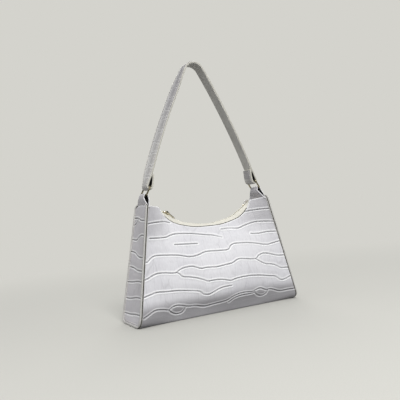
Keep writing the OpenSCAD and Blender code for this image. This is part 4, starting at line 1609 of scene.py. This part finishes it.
def floor_finish(near, shade):
    """A pale floor that keeps the bag's shadow and fades into the background's colour.
    It throws little light back up at the bag."""
    f = new_finish("studio_floor")
    place = f.place()
    reach = f.node("VectorMath", {"operation": "LENGTH"}, {0: place}, "Value")
    speck = f.noise(place, 900)
    lit = f.node("BsdfDiffuse", {}, {"Color": f.mottled(speck, 0.3, 0.7, near, shade)})
    far = f.node("Emission", {}, {"Color": STUDIO_TONE, "Strength": 1.0})
    pale = f.mixed(f.ranged(reach, *FLOOR_FADE, 0.0, 1.0), lit, far)
    dark = f.node("BsdfDiffuse", {}, {"Color": FLOOR_BOUNCE})
    seen = f.ray("Camera") + f.ray("Glossy") + f.ray("Transmission")
    return f.ends_in(f.mixed(seen, dark, pale))


def make_floor():
    points = [(r*math.cos(a), r*math.sin(a), 0) for r in FLOOR_RINGS for a in circle(FLOOR_SIDES)]
    faces = [list(range(FLOOR_SIDES))]
    for k in range(len(FLOOR_RINGS) - 1):
        here, there = k*FLOOR_SIDES, (k + 1)*FLOOR_SIDES
        for i in range(FLOOR_SIDES):
            j = (i + 1) % FLOOR_SIDES
            faces.append([here + i, there + i, there + j, here + j])
    mesh = bpy.data.meshes.new("studio_floor")
    mesh.from_pydata(points, [], faces)
    mesh.materials.append(floor_finish(rgb(203, 202, 196), rgb(199, 198, 192)))
    floor = bpy.data.objects.new("studio_floor", mesh)
    bpy.context.scene.collection.objects.link(floor)


def make_world():
    """Background colour for the camera and for reflections, and even light for the rest.
    Reflections darken towards the ceiling and the front, which gives the metal its contrast."""
    world = bpy.data.worlds.new("studio")
    bpy.context.scene.world = world
    w = Nodes(world, "OutputWorld")
    way = w.node("TexCoord", {}, {}, "Generated")
    ceiling = w.ranged(w.node("SeparateXYZ", {}, {"Vector": way}, "Z"), 0.05, 0.75, 1.0, 0.12)
    room = w.ranged(w.node("SeparateXYZ", {}, {"Vector": way}, "Y"), -0.7, 0.2, 0.12, 1.0)
    light = w.node("Background", {}, {"Color": AMBIENT_TONE, "Strength": AMBIENT})
    reflected = w.node("Background", {}, {"Color": STUDIO_TONE, "Strength": ceiling*room})
    shown = w.node("Background", {}, {"Color": STUDIO_TONE, "Strength": 1.0})
    glossy = w.ray("Glossy")
    shiny = glossy.math("MAXIMUM", glossy, w.ray("Transmission"))
    w.ends_in(w.mixed(w.ray("Camera"), w.mixed(shiny, light, reflected), shown))


def make_lamp(name, place, aim, size, power, color):
    data = bpy.data.lights.new(name, "AREA")
    data.shape = "DISK"
    data.size = size
    data.energy = power
    data.color = color
    lamp = bpy.data.objects.new(name, data)
    lamp.location = place
    lamp.rotation_euler = (Vector(aim) - Vector(place)).to_track_quat("-Z", "Y").to_euler()
    bpy.context.scene.collection.objects.link(lamp)


def make_camera():
    data = bpy.data.cameras.new("camera")
    data.lens = LENS
    data.sensor_width = SENSOR_W
    data.clip_end = 100
    camera = bpy.data.objects.new("camera", data)
    forward = Vector(CAMERA_LOOK).normalized()
    right = Vector(CAMERA_RIGHT)
    right = (right - right.dot(forward)*forward).normalized()
    turn = Matrix((right, right.cross(forward), -forward)).transposed().to_4x4()
    camera.matrix_world = Matrix.Translation(CAMERA_AT) @ turn
    bpy.context.scene.collection.objects.link(camera)
    bpy.context.scene.camera = camera


make_camera()
bpy.context.scene.view_settings.view_transform = "Standard"
make_floor()
make_world()
make_lamp("key", (-0.26, -1.32, 1.20), (-0.02, 0, 0.07), 0.8, 17.9, (1.0, 0.997, 0.99))
make_lamp("back", (0.7, 1.5, 1.1), (0, 0, 0.12), 1.2, 9, (1.0, 0.99, 0.97))

make_walls()
make_base()
make_sides()
make_lining()
dress_base_board()
make_tapes()
make_teeth()
make_stops()
make_slider()
make_pull()
make_tabs_and_rings()
make_strap()
